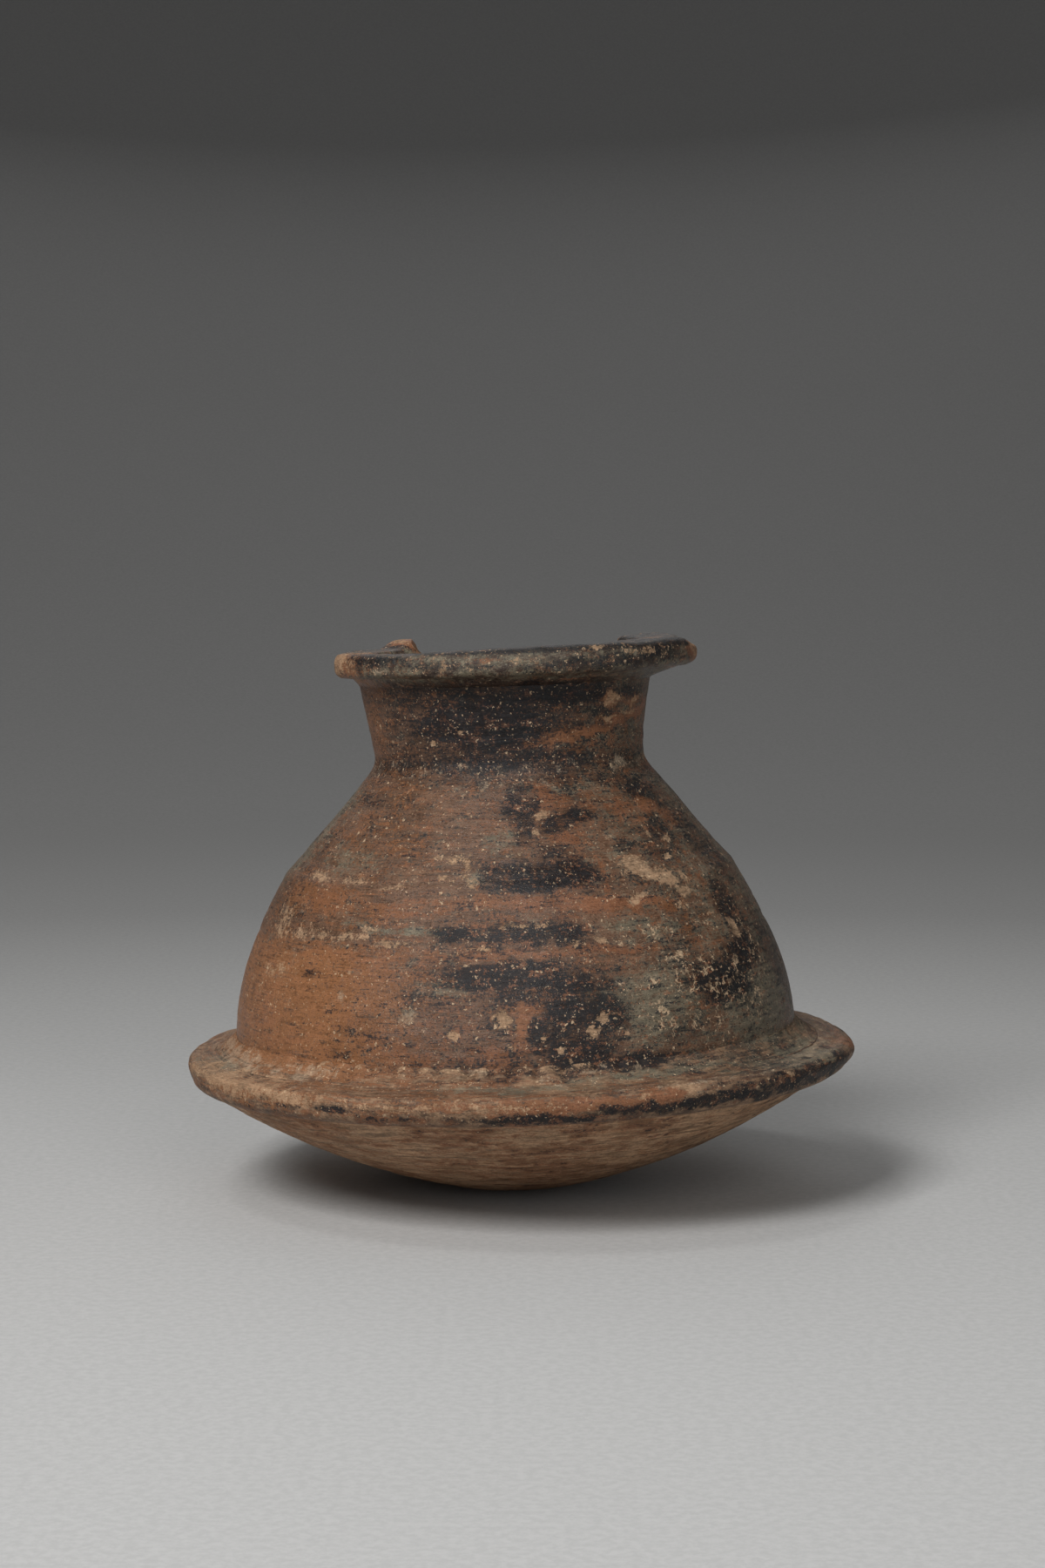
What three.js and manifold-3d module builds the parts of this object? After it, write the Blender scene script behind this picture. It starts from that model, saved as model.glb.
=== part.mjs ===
// Hand-built pottery jar with a round base, a projecting ledge, a domed body, a flared neck and a broken lip.
// Millimetres, +Z up. The origin is the middle of the worn flat that the jar stands on.
// It is built as the potter built it: separately formed rings of clay, bevelled and luted one on another.

import * as THREE from 'three';
import { mergeVertices } from 'three/addons/utils/BufferGeometryUtils.js';
import Module from 'manifold-3d';

const wasm = await Module();
wasm.setup();

// How the jar stands
const LEAN_DEG = 1.77; // it rests a little off upright, its mouth towards -X
const FOOT_FLAT_R = 7; // worn flat under the round base

// Round base, with heights measured up the jar's own axis from the pole of the base.
// The underside is part of a sphere laid over a shallow cone whose point is rounded off.
const BASE_SPHERE_R = 157;
const BASE_CONE_SLOPE = 0.136;
const BASE_POINT_R = 5; // how far the rounding of the cone's point reaches
const FLOOR_T = 6.5;
const SAUCER_LAP = 14; // how far the bevel at its edge runs inwards as it climbs through the clay

// Projecting ledge at the widest part
const LEDGE_W = 12.9; // from the foot of the wall out to the tip of the ledge
const LEDGE_OFFSET_X = 1.3; // the ledge's edge was set this far off the wall's axis
const LEDGE_SLOPE = 1.25; // fall of the ledge's top from the wall to its edge
const LIP_ROUND_W = 2.4; // width of the rounded edge at the top of the tip
const LIP_TOP_T = 1.6; // height of the tip below the edge of the ledge's top
const LIP_UNDER_W = 5.2; // width of the rounding under the tip, in to the crease where the saucer begins

// Wall courses, each with its height, the outer radius at its top and the bow of its outer face
const WALL_T = 5;
const FOOT_R = 67.5; // outer radius at the foot of the wall
const SEAT_RISE = 8.35; // from the saucer's edge up to the seat on the ledge ring that the wall stands on
const LOWER = { height: 27.8, topR: 60.8, bow: 1.7, steps: 5 };
const BELT = { height: 13.8, topR: 53.5, bow: 0.2, steps: 2 };
const SHOULDER = { height: 25.3, topR: 32, bow: 0, steps: 1 };
const NECK = { height: 21, topR: 35.4, bow: -0.3, steps: 4 };
const LAP = 4.5; // how far each seam in the wall climbs from its outside to its inside
const SEAM = 0.3; // clearance left at every luted seam

// Luting clay pressed into the two corners where the wall stands on the ledge ring
const STRIP_H = 3.2; // outer strip, up the wall
const STRIP_W = 4; // outer strip, out over the ledge
const STRIP_HOLLOW = 0.42; // share of its height and width that is left at the middle of its hollowed face
const COIL_H = 8; // inner coil, up the wall above the seat
const COIL_W = 9; // inner coil, in over the floor
const COIL_HOLLOW_W = 0.3; // the same shares for the inner coil, its height being taken below the seat
const COIL_HOLLOW_H = 0.5;

// Out-turned lip, set off the axis and tilted a little. Its heights are above the top of the neck.
const RIM_OUTER_R = 43.6;
const RIM_OFFSET_X = 2.6;
const RIM_TILT_DEG = 1.5; // its left side is the lower one
const RIM_TOP_H = 7;
const RIM_TIP_H = 3.3; // height of its outermost line
const RIM_UNDER_H = 0.8; // height of the lowest line of its rounded edge
const RIM_ROOT_H = -1.6; // where its underside meets the neck
const RIM_UNDER_W = 3.8; // width of the rounding below the outermost line
const RIM_UPPER_W = 3.8; // width of the rounding above the outermost line
const MOUTH_FLARE = 1.6; // the mouth is this much wider at the top of the lip
const MOUTH_FLARE_H = 3;

// Torn spur at the end of the lip, between two angles from the front (-Y) through the right (+X)
const SPUR_RISE = 1.9; // it stands this much above the lip
const SPUR_FROM_DEG = 203;
const SPUR_TO_DEG = 226;
const SPUR_IN_R = 33;
const SPUR_OUT_R = 41;

// What survives of the broken back of the mouth: heights above the top of the neck, along X
const BREAK_FROM_Y = 16;
const BREAK_LINE = [
  [-31.5, 7],
  [-28, 7.5],
  [-26, 8.4],
  [-23, 6.9],
  [-20.4, 4.4],
  [-19, 0.4],
  [-15, -4],
  [-9, -5.2],
  [-2, -3.4],
  [8, -6.2],
  [16, -4.2],
  [25, -3.6],
  [28, 0.6],
  [30.8, 5.3],
  [34, 7.2],
  [38.5, 9.5],
];

// Smoothness of the turned shapes
const ROUND_STEPS = 60;
const ARC_STEPS = 4;

// Where the saucer ends under the ledge, and the height of the wall's seat above the pole of the base
const SAUCER_R = FOOT_R + LEDGE_W - LIP_UNDER_W;
const SEAT_Z = underZ(SAUCER_R) + SEAT_RISE;

const rad = THREE.MathUtils.degToRad;
const v2 = (r, z) => new THREE.Vector2(r, z);

// Height of the underside of the base at a radius
function underZ(r) {
  const sphere = BASE_SPHERE_R - Math.sqrt(BASE_SPHERE_R * BASE_SPHERE_R - r * r);
  const cone = BASE_CONE_SLOPE * (Math.hypot(r, BASE_POINT_R) - BASE_POINT_R);
  return sphere + cone;
}

// Points of a quarter of an ellipse about (r, z), from angle a0 to a1 in degrees
function quarter(r, z, halfW, halfH, a0, a1, steps = ARC_STEPS) {
  return Array.from({ length: steps + 1 }, (_, i) => {
    const a = rad(a0 + ((a1 - a0) * i) / steps);
    return v2(r + halfW * Math.cos(a), z + halfH * Math.sin(a));
  });
}

// A ring turned about the jar's axis from a closed outline of (radius, height) points
function turned(outline, closed = true) {
  const area = outline.reduce((sum, p, i) => sum + p.cross(outline[(i + 1) % outline.length]), 0);
  const ordered = area > 0 ? [...outline] : [...outline].reverse();
  if (closed) ordered.push(ordered[0].clone());
  return new THREE.LatheGeometry(ordered, ROUND_STEPS).rotateX(Math.PI / 2);
}

function solidOf(geometry) {
  const bare = new THREE.BufferGeometry();
  bare.setAttribute('position', geometry.getAttribute('position'));
  bare.setIndex(geometry.getIndex());
  const merged = mergeVertices(bare, 1e-3);
  const mesh = new wasm.Mesh({
    numProp: 3,
    vertProperties: merged.getAttribute('position').array,
    triVerts: new Uint32Array(merged.getIndex().array),
  });
  return new wasm.Manifold(mesh);
}

function geometryOf(solid) {
  const mesh = solid.getMesh();
  const geometry = new THREE.BufferGeometry();
  geometry.setAttribute('position', new THREE.BufferAttribute(new Float32Array(mesh.vertProperties), 3));
  geometry.setIndex(new THREE.BufferAttribute(new Uint32Array(mesh.triVerts), 1));
  const flat = geometry.toNonIndexed();
  flat.computeVertexNormals();
  return flat;
}

// Outer face of the wall as one line of points, with the seams' places along it
function wallLine() {
  const points = [v2(FOOT_R, SEAT_Z)];
  const seams = [0];
  for (const course of [LOWER, BELT, SHOULDER, NECK]) {
    const start = points[points.length - 1];
    const end = v2(course.topR, start.y + course.height);
    const out = v2(end.y - start.y, start.x - end.x).normalize();
    const middle = start.clone().add(end).multiplyScalar(0.5).addScaledVector(out, 2 * course.bow);
    const curve = new THREE.QuadraticBezierCurve(start, middle, end);
    points.push(...curve.getPoints(course.steps).slice(1));
    seams.push(points.length - 1);
  }
  return { points, seams };
}

// Points one wall thickness inside the outer line, with its corners mitred and its two ends cut level
function wallInside(points) {
  const sides = points.slice(1).map((p, i) => {
    const along = p.clone().sub(points[i]).normalize();
    return v2(along.y, -along.x);
  });
  return points.map((p, i) => {
    const before = sides[Math.max(i - 1, 0)];
    const after = sides[Math.min(i, sides.length - 1)];
    const atEnd = i === 0 || i === sides.length;
    const out = atEnd ? v2(1, 0) : before.clone().add(after).normalize();
    return p.clone().addScaledVector(out, -WALL_T / out.dot(after));
  });
}

const line = wallLine();
const inner = wallInside(line.points);
const NECK_TOP_Z = line.points[line.points.length - 1].y;
const MOUTH_R = inner[inner.length - 1].x;
const lengths = line.points.reduce(
  (sums, p, i) => (i ? [...sums, sums[i - 1] + p.distanceTo(line.points[i - 1])] : [0]),
  [],
);

// The point of a line at a distance along the outer face, carried on straight past its ends
function pointAt(points, distance) {
  const past = lengths.findIndex((s) => s > distance);
  const k = past < 0 ? points.length - 1 : Math.max(past, 1);
  const share = (distance - lengths[k - 1]) / (lengths[k] - lengths[k - 1]);
  return points[k - 1].clone().lerp(points[k], share);
}

// The radius of a line at a height
function radiusAt(points, z) {
  const k = Math.max(points.findIndex((p) => p.y > z), 1);
  const share = (z - points[k - 1].y) / (points[k].y - points[k - 1].y);
  return points[k - 1].x + (points[k].x - points[k - 1].x) * share;
}

// The stretch of a line between two distances, its sample points included
function stretch(points, from, to) {
  const between = points.filter((_, i) => lengths[i] > from + SEAM && lengths[i] < to - SEAM);
  return [pointAt(points, from), ...between, pointAt(points, to)];
}

// One course of the wall. Its seams climb from the outside to the inside, except at the two ends of the wall.
function wallCourse(index) {
  const last = line.seams.length - 2;
  const from = lengths[line.seams[index]] + SEAM;
  const to = lengths[line.seams[index + 1]];
  const outside = stretch(line.points, from, to);
  const innerFrom = index === 0 ? from : from + LAP;
  const innerTo = index === last ? to : to + LAP;
  return turned([...outside, ...stretch(inner, innerFrom, innerTo).reverse()]);
}

// Round-bottomed saucer of even thickness, bevelled at its edge
function baseSaucer() {
  const edgeR = SAUCER_R - SEAM;
  const steps = 8;
  const under = Array.from({ length: steps + 1 }, (_, i) => {
    const r = (edgeR * i) / steps;
    return v2(r, underZ(r));
  });
  const floor = Array.from({ length: steps + 1 }, (_, i) => {
    const r = ((edgeR - SAUCER_LAP) * i) / steps;
    return v2(r, underZ(r) + FLOOR_T);
  });
  return turned([...under, ...floor.reverse()], false);
}

// Ledge ring: it laps the saucer's edge, carries the wall on its seat and runs out to the rounded tip
function ledgeRing() {
  const tipR = FOOT_R + LEDGE_W;
  const tipZ = SEAT_Z - LEDGE_SLOPE - LIP_TOP_T;
  const floorR = SAUCER_R - SAUCER_LAP;
  const ring = turned([
    ...quarter(SAUCER_R, tipZ, LIP_UNDER_W, tipZ - underZ(SAUCER_R), -90, 0),
    ...quarter(tipR - LIP_ROUND_W, tipZ, LIP_ROUND_W, LIP_TOP_T, 0, 90).slice(1),
    v2(FOOT_R, SEAT_Z),
    v2(inner[0].x, SEAT_Z),
    v2(floorR, underZ(floorR) + FLOOR_T),
  ]);
  return eased(ring, FOOT_R, tipR, LEDGE_OFFSET_X);
}

// A ring with its outer part moved along X, by nothing at one radius and the whole offset at the other
function eased(geometry, fromR, toR, offset) {
  const position = geometry.getAttribute('position');
  for (let i = 0; i < position.count; i++) {
    const r = Math.hypot(position.getX(i), position.getY(i));
    const share = THREE.MathUtils.clamp((r - fromR) / (toR - fromR), 0, 1);
    position.setX(i, position.getX(i) + offset * share);
  }
  return geometry;
}

// Outer luting strip, pressed into the corner between the wall and the top of the ledge
function lutingStrip() {
  const slope = LEDGE_SLOPE / (LEDGE_W - LIP_ROUND_W);
  const foot = v2(FOOT_R + SEAM, SEAT_Z + SEAM);
  const top = v2(radiusAt(line.points, SEAT_Z + STRIP_H) + SEAM, SEAT_Z + STRIP_H);
  const toe = v2(FOOT_R + STRIP_W, SEAT_Z + SEAM - slope * STRIP_W);
  const hollow = v2(foot.x + STRIP_W * STRIP_HOLLOW, foot.y + STRIP_H * STRIP_HOLLOW);
  const face = new THREE.QuadraticBezierCurve(toe, hollow, top).getPoints(3);
  return turned([foot, ...face]);
}

// Inner luting coil, smeared into the corner between the wall and the floor
function lutingCoil() {
  const wallR = inner[0].x - SEAM;
  const floorR = SAUCER_R - SAUCER_LAP - SEAM;
  const toeR = wallR - COIL_W;
  const floorZ = (r) => underZ(r) + FLOOR_T + SEAM;
  const toe = v2(toeR, floorZ(toeR));
  const top = v2(radiusAt(inner, SEAT_Z + COIL_H) - SEAM, SEAT_Z + COIL_H);
  const hollow = v2(wallR - COIL_W * COIL_HOLLOW_W, SEAT_Z - COIL_H * COIL_HOLLOW_H);
  const face = new THREE.QuadraticBezierCurve(top, hollow, toe).getPoints(5);
  return turned([v2(floorR, floorZ(floorR)), v2(wallR, SEAT_Z), ...face]);
}

// A solid over the broken back of the mouth: everything above the break line, from BREAK_FROM_Y backwards
function overBreak() {
  const topZ = NECK_TOP_Z + 3 * RIM_TOP_H;
  const edge = BREAK_LINE.map(([x, height]) => v2(x, NECK_TOP_Z + height));
  const shape = new THREE.Shape([...edge, v2(edge[edge.length - 1].x, topZ), v2(edge[0].x, topZ)]);
  const depth = 2 * RIM_OUTER_R;
  const block = new THREE.ExtrudeGeometry(shape, { depth, bevelEnabled: false });
  return solidOf(block.rotateX(Math.PI / 2).translate(0, BREAK_FROM_Y + depth, 0));
}

// The whole out-turned lip: an off-centre, tilted, rounded disc
function lipDisc() {
  return solidOf(turned([
    v2(0, RIM_ROOT_H),
    v2(NECK.topR, RIM_ROOT_H),
    ...quarter(RIM_OUTER_R - RIM_UNDER_W, RIM_TIP_H, RIM_UNDER_W, RIM_TIP_H - RIM_UNDER_H, -90, 0),
    ...quarter(RIM_OUTER_R - RIM_UPPER_W, RIM_TIP_H, RIM_UPPER_W, RIM_TOP_H - RIM_TIP_H, 0, 90).slice(1),
    v2(0, RIM_TOP_H),
  ], false).rotateY(-rad(RIM_TILT_DEG)).translate(RIM_OFFSET_X, 0, NECK_TOP_Z));
}

// The mouth, and the room for the neck that the lip sits on
function lipBore() {
  const seatR = NECK.topR + SEAM;
  const flareZ = NECK_TOP_Z + RIM_TOP_H - MOUTH_FLARE_H;
  return solidOf(turned([
    v2(0, NECK_TOP_Z - RIM_TOP_H),
    v2(seatR, NECK_TOP_Z - RIM_TOP_H),
    v2(seatR, NECK_TOP_Z + SEAM),
    v2(MOUTH_R, NECK_TOP_Z + SEAM),
    v2(MOUTH_R, flareZ),
    v2(MOUTH_R + 4 * MOUTH_FLARE, flareZ + 4 * MOUTH_FLARE_H),
    v2(0, flareZ + 4 * MOUTH_FLARE_H),
  ], false));
}

// Block of torn clay at the end of the lip, seated in the lip and cut to its height by the break line
function spurBlock() {
  const arc = (r, from, to) => [0, 0.5, 1].map((t) => {
    const a = rad(from + (to - from) * t);
    return v2(r * Math.sin(a), -r * Math.cos(a));
  });
  const outline = [...arc(SPUR_OUT_R, SPUR_FROM_DEG, SPUR_TO_DEG), ...arc(SPUR_IN_R, SPUR_TO_DEG, SPUR_FROM_DEG)];
  const depth = SPUR_RISE + RIM_TOP_H - RIM_TIP_H;
  const block = new THREE.ExtrudeGeometry(new THREE.Shape(outline), { depth, bevelEnabled: false });
  return solidOf(block.translate(0, 0, NECK_TOP_Z + RIM_TIP_H));
}

// Fired clay of each piece, from the orange of bare clay to the black of the fire clouds
const clay = (color, roughness) => new THREE.MeshStandardMaterial({ color, roughness, metalness: 0 });
const BARE_CLAY = clay(0x8a5f40, 0.85);
const ORANGE_CLAY = clay(0x9a5f3a, 0.75);
const RED_SLIP = clay(0x7a4a34, 0.55);
const DARK_SLIP = clay(0x40332d, 0.5);

// Everything on the jar's own axis goes in this group, whose origin is the pole of the round base
const rollR = 1 / (1 / BASE_SPHERE_R + BASE_CONE_SLOPE / BASE_POINT_R); // curvature of the base at its pole
const jar = new THREE.Group();
jar.position.z = -rollR;

// The jar leans by rolling on the rounded point of its base
const leaning = new THREE.Group();
leaning.position.z = rollR - underZ(FOOT_FLAT_R);
leaning.rotation.y = -rad(LEAN_DEG);
leaning.add(jar);
const root = new THREE.Group();
root.add(leaning);

function add(name, geometry, material) {
  const mesh = new THREE.Mesh(geometry, material);
  mesh.name = name;
  jar.add(mesh);
}

// Wears the saucer flat where it meets the ground, which is level however the jar leans
function wornFlat(geometry) {
  root.updateMatrixWorld(true);
  const ground = new THREE.BoxGeometry(4 * FOOT_FLAT_R, 4 * FOOT_FLAT_R, 4 * FLOOR_T);
  ground.translate(0, 0, -2 * FLOOR_T);
  ground.applyMatrix4(jar.matrixWorld.clone().invert());
  return geometryOf(solidOf(geometry).subtract(solidOf(ground)));
}

const lip = lipDisc().subtract(lipBore()).add(spurBlock()).subtract(overBreak());
const neck = solidOf(wallCourse(3)).subtract(overBreak());

add('base_saucer', wornFlat(baseSaucer()), BARE_CLAY);
add('ledge_ring', ledgeRing(), ORANGE_CLAY);
add('outer_luting_strip', lutingStrip(), ORANGE_CLAY);
add('inner_luting_coil', lutingCoil(), BARE_CLAY);
add('lower_wall', wallCourse(0), RED_SLIP);
add('belt_course', wallCourse(1), RED_SLIP);
add('shoulder_course', wallCourse(2), RED_SLIP);
add('neck_collar', geometryOf(neck), DARK_SLIP);
add('broken_lip', geometryOf(lip), DARK_SLIP);

export default root;
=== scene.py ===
import math

import bpy
import numpy as np
from bpy.props import FloatProperty, FloatVectorProperty, IntProperty, PointerProperty
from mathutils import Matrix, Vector


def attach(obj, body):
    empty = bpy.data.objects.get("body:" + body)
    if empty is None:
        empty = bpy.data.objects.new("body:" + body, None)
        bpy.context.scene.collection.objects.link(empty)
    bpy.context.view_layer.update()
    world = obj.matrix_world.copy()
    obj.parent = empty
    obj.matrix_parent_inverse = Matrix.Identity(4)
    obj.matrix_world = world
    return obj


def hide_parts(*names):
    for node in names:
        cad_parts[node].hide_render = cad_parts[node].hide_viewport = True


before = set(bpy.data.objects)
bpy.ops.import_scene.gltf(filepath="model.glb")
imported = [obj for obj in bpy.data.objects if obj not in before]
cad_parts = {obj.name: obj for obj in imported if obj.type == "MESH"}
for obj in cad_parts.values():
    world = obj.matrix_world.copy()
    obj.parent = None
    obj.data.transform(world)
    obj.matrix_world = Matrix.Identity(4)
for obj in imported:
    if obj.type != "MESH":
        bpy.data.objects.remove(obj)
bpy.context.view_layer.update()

bl_info = {
    "name": "Hand-built ledged jar",
    "version": (1, 0, 0),
    "blender": (4, 5, 0),
    "location": "3D View > Sidebar > Jar",
    "description": "Builds a round-based pottery jar, ring by ring, around its packed solids",
    "category": "Add Mesh",
}

MM = 0.001
COARSE = 1

# Sizes of the jar in millimetres. Heights run up the jar's own axis from the pole of its base.
LEAN_DEG = 1.77
FOOT_FLAT_R = 7.0
BASE_SPHERE_R = 157.0
BASE_CONE_SLOPE = 0.136
BASE_POINT_R = 5.0
FLOOR_T = 6.5
SAUCER_LAP = 14.0
LEDGE_W = 12.9
LEDGE_OFFSET_X = 1.3
LEDGE_SLOPE = 1.25
LIP_ROUND_W = 2.4
LIP_TOP_T = 1.6
LIP_UNDER_W = 5.2
FOOT_R = 67.5
SEAT_RISE = 8.35
LOWER = {"height": 27.8, "top_r": 60.8, "bow": 1.7}
BELT = {"height": 13.8, "top_r": 53.5, "bow": 0.2}
SHOULDER = {"height": 25.3, "top_r": 32.0, "bow": 0.0}
NECK = {"height": 21.0, "top_r": 35.4, "bow": -0.3}
COURSES = (LOWER, BELT, SHOULDER, NECK)
WALL_T = 5.0
LAP = 4.5
STRIP_H = 3.2
STRIP_W = 4.0
COIL_H = 8.0
COIL_W = 9.0
RIM_OUTER_R = 43.6
RIM_OFFSET_X = 2.6
RIM_TILT_DEG = 1.5
RIM_TOP_H = 7.0
RIM_TIP_H = 3.3
RIM_UNDER_H = 0.8
RIM_ROOT_H = -1.6
RIM_ROUND_W = 3.8
MOUTH_FLARE = 1.6
MOUTH_FLARE_H = 3.0
BREAK_FROM_Y = 16.0
BREAK_RIGHT = ((-3.6, 25.0), (0.6, 28.0), (5.3, 30.8), (7.2, 34.0), (9.5, 38.5))
BREAK_LEFT = ((-4.0, -15.0), (0.4, -19.0), (4.4, -20.4), (6.9, -23.0), (8.4, -26.0))
NECK_BREAK = (
    (-23, 6.9), (-20.4, 4.4), (-19, 0.4), (-15, -4), (-9, -5.2), (-2, -3.4), (8, -6.2), (16, -4.2),
    (25, -3.6), (28, 0.6), (30.8, 5.3),
)
RIM_ROUNDNESS = 0.72
LIP_SPAN = (-150, 132)
LIP_PLAIN_SPAN = (-112, 96)

# How finely the pieces are divided; a larger COARSE divides them less finely.
ROUND_STEPS = 900 // COARSE
SAUCER_STEPS = 720 // COARSE
UNDER_POINTS = 116 // COARSE
FLOOR_POINTS = 17
STRIP_POINTS = 26 // COARSE
COIL_POINTS = 18
LIP_STEPS = 760 // COARSE
OUTER_STEP = 0.46 * COARSE
INNER_STEP = 1.2
SEAM_POINTS = 7
END_RINGS = 10


# Shape of the jar

def ramp(value, start, end):
    """0 before the start, 1 past the end and a straight rise between them."""
    return np.clip((value - start) / (end - start), 0, 1)


def ridge(value, middle, width, power=2):
    """1 at the middle and less on both sides, like a bell, with a flatter top for a higher power."""
    return np.exp(-((value - middle) / width) ** power)


def curve(start, control, end, t):
    """Quadratic curve from start to end, drawn towards its control point."""
    return (1 - t) ** 2 * start + 2 * t * (1 - t) * control + t * t * end


def signed_degrees(az):
    """An azimuth in degrees from -180 to 180."""
    return (np.degrees(az) + 180) % 360 - 180


def under_z(r):
    """Height of the underside of the base at a radius: a sphere laid over a cone whose point is rounded."""
    sphere = BASE_SPHERE_R - np.sqrt(BASE_SPHERE_R ** 2 - r * r)
    return sphere + BASE_CONE_SLOPE * (np.hypot(r, BASE_POINT_R) - BASE_POINT_R)


SAUCER_R = FOOT_R + LEDGE_W - LIP_UNDER_W
FLOOR_R = SAUCER_R - SAUCER_LAP
FLOOR_Z = under_z(FLOOR_R) + FLOOR_T
LEAN = math.radians(-LEAN_DEG)
ROLL_Z = 1 / (1 / BASE_SPHERE_R + BASE_CONE_SLOPE / BASE_POINT_R)
SUNK = under_z(FOOT_FLAT_R)
SEAT_Z = under_z(SAUCER_R) + SEAT_RISE
TIP_R = FOOT_R + LEDGE_W
TIP_Z = SEAT_Z - LEDGE_SLOPE - LIP_TOP_T


def bezier(start, end, bow, count):
    """Quadratic curve from start to end whose control point stands twice the bow off the chord's middle."""
    start, end = np.array(start, float), np.array(end, float)
    along = end - start
    outward = np.array([along[1], -along[0]]) / np.hypot(*along)
    return curve(start, (start + end) / 2 + 2 * bow * outward, end, np.linspace(0, 1, count)[:, None])


def eased(line, width):
    """A line's points averaged along it under a Gaussian, with both ends carried on straight."""
    reach = int(4 * width)
    weights = np.exp(-0.5 * (np.arange(-reach, reach + 1) / width) ** 2)
    weights /= weights.sum()
    padded = np.concatenate([
        2 * line[0] - line[1:reach + 1][::-1], line, 2 * line[-1] - line[-reach - 1:-1][::-1],
    ])
    return np.c_[np.convolve(padded[:, 0], weights, "valid"), np.convolve(padded[:, 1], weights, "valid")]


def wall_outline(step=0.1, ease=0.9, crease_ease=1.9):
    """Outer face of the wall, the four courses' curves end to end, sampled evenly and eased by a Gaussian
    mean along its length so that its corners are as soft as smoothed clay, most of all the crease under the
    neck. Returns distance, radius, height, seams."""
    points, seams, z, r = [], [0.0], SEAT_Z, FOOT_R
    for course in COURSES:
        piece = bezier((r, z), (course["top_r"], z + course["height"]), course["bow"], 200)
        points.append(piece[1:] if points else piece)
        z, r = z + course["height"], course["top_r"]
        seams.append(seams[-1] + np.hypot(*np.diff(piece, axis=0).T).sum())
    raw = np.concatenate(points)
    run = np.r_[0, np.cumsum(np.hypot(*np.diff(raw, axis=0).T))]
    s = np.arange(0, run[-1], step)
    line = np.c_[np.interp(s, run, raw[:, 0]), np.interp(s, run, raw[:, 1])]
    near_crease = ridge(s, seams[3], 6)[:, None]
    soft = eased(line, ease / step) * (1 - near_crease) + eased(line, crease_ease / step) * near_crease
    return s, soft[:, 0], soft[:, 1], seams


LINE_S, LINE_R, LINE_Z, SEAMS = wall_outline()
NECK_TOP_Z = SEAT_Z + sum(course["height"] for course in COURSES)
MOUTH_R = NECK["top_r"] - WALL_T


def wall_point(s, depth):
    """Radius and height of the wall at a distance up its outer face, at a depth into the clay."""
    r, z = np.interp(s, LINE_S, LINE_R), np.interp(s, LINE_S, LINE_Z)
    dr = np.interp(s + 0.3, LINE_S, LINE_R) - np.interp(s - 0.3, LINE_S, LINE_R)
    dz = np.interp(s + 0.3, LINE_S, LINE_Z) - np.interp(s - 0.3, LINE_S, LINE_Z)
    length = np.hypot(dr, dz)
    return r - depth * dz / length, z + depth * dr / length


def to_frame(xyz):
    """Turns points on the jar's own axis, in millimetres, into the leaning jar in the frame, in metres. The
    jar is turned about the centre that its base rolls about, and stands with the flat of its base on the
    ground."""
    c, s = math.cos(LEAN), math.sin(LEAN)
    turn = np.array([[c, 0, s], [0, 1, 0], [-s, 0, c]])
    return ((xyz - [0, 0, ROLL_Z]) @ turn.T + [0, 0, ROLL_Z - SUNK]) * MM


def level_ground(xyz):
    """Height, up the jar's axis, of the level ground under each point."""
    return ROLL_Z + (xyz[..., 0] * math.sin(LEAN) - (ROLL_Z - SUNK)) / math.cos(LEAN)


# Random fields, worked out from the place alone, so that neighbouring pieces agree at their seams

def scramble(cells, seed, size=8192):
    """A fixed random number from 0 to 1 for each whole-number cell."""
    table = np.random.RandomState(seed).rand(size)
    key = (cells[..., 0] * 73856093) ^ (cells[..., 1] * 19349663) ^ (cells[..., 2] * 83492791)
    return table[np.abs(key) % size]


def swell(xyz, size, seed, stretch=(1, 1, 1)):
    """Smooth random field from -1 to 1: numbers at the corners of cubes of one size, blended between
    them."""
    q = xyz * np.array(stretch) / size
    cell = np.floor(q).astype(np.int64)
    f = q - cell
    f = f * f * (3 - 2 * f)
    total = 0
    for corner in np.ndindex(2, 2, 2):
        weight = np.prod(np.where(corner, f, 1 - f), axis=-1)
        total = total + weight * scramble(cell + np.array(corner), seed)
    return 2 * total - 1


def swells(xyz, *layers):
    """Random fields added together. A layer is a strength, a size, a seed and, if it has one, a stretch."""
    return sum(strength * swell(xyz, *rest) for strength, *rest in layers)


def pits(xyz, spacing, radius, share, seed):
    """Small round hollows, one to a cube in a share of the cubes: 1 in the middle, 0 past the radius."""
    q = xyz / spacing
    cell = np.floor(q).astype(np.int64)
    depth = np.zeros(xyz.shape[:-1])
    for offset in np.ndindex(3, 3, 3):
        near = cell + np.array(offset) - 1
        jitter = np.stack([scramble(near, seed + k) for k in range(3)], -1)
        gap = np.linalg.norm(q - near - 0.15 - 0.7 * jitter, axis=-1) * spacing
        size = radius * (0.5 + scramble(near, seed + 3))
        hit = scramble(near, seed + 4) < share
        depth = np.maximum(depth, np.where(hit, np.clip(1 - (gap / size) ** 2, 0, 1), 0))
    return depth
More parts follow.
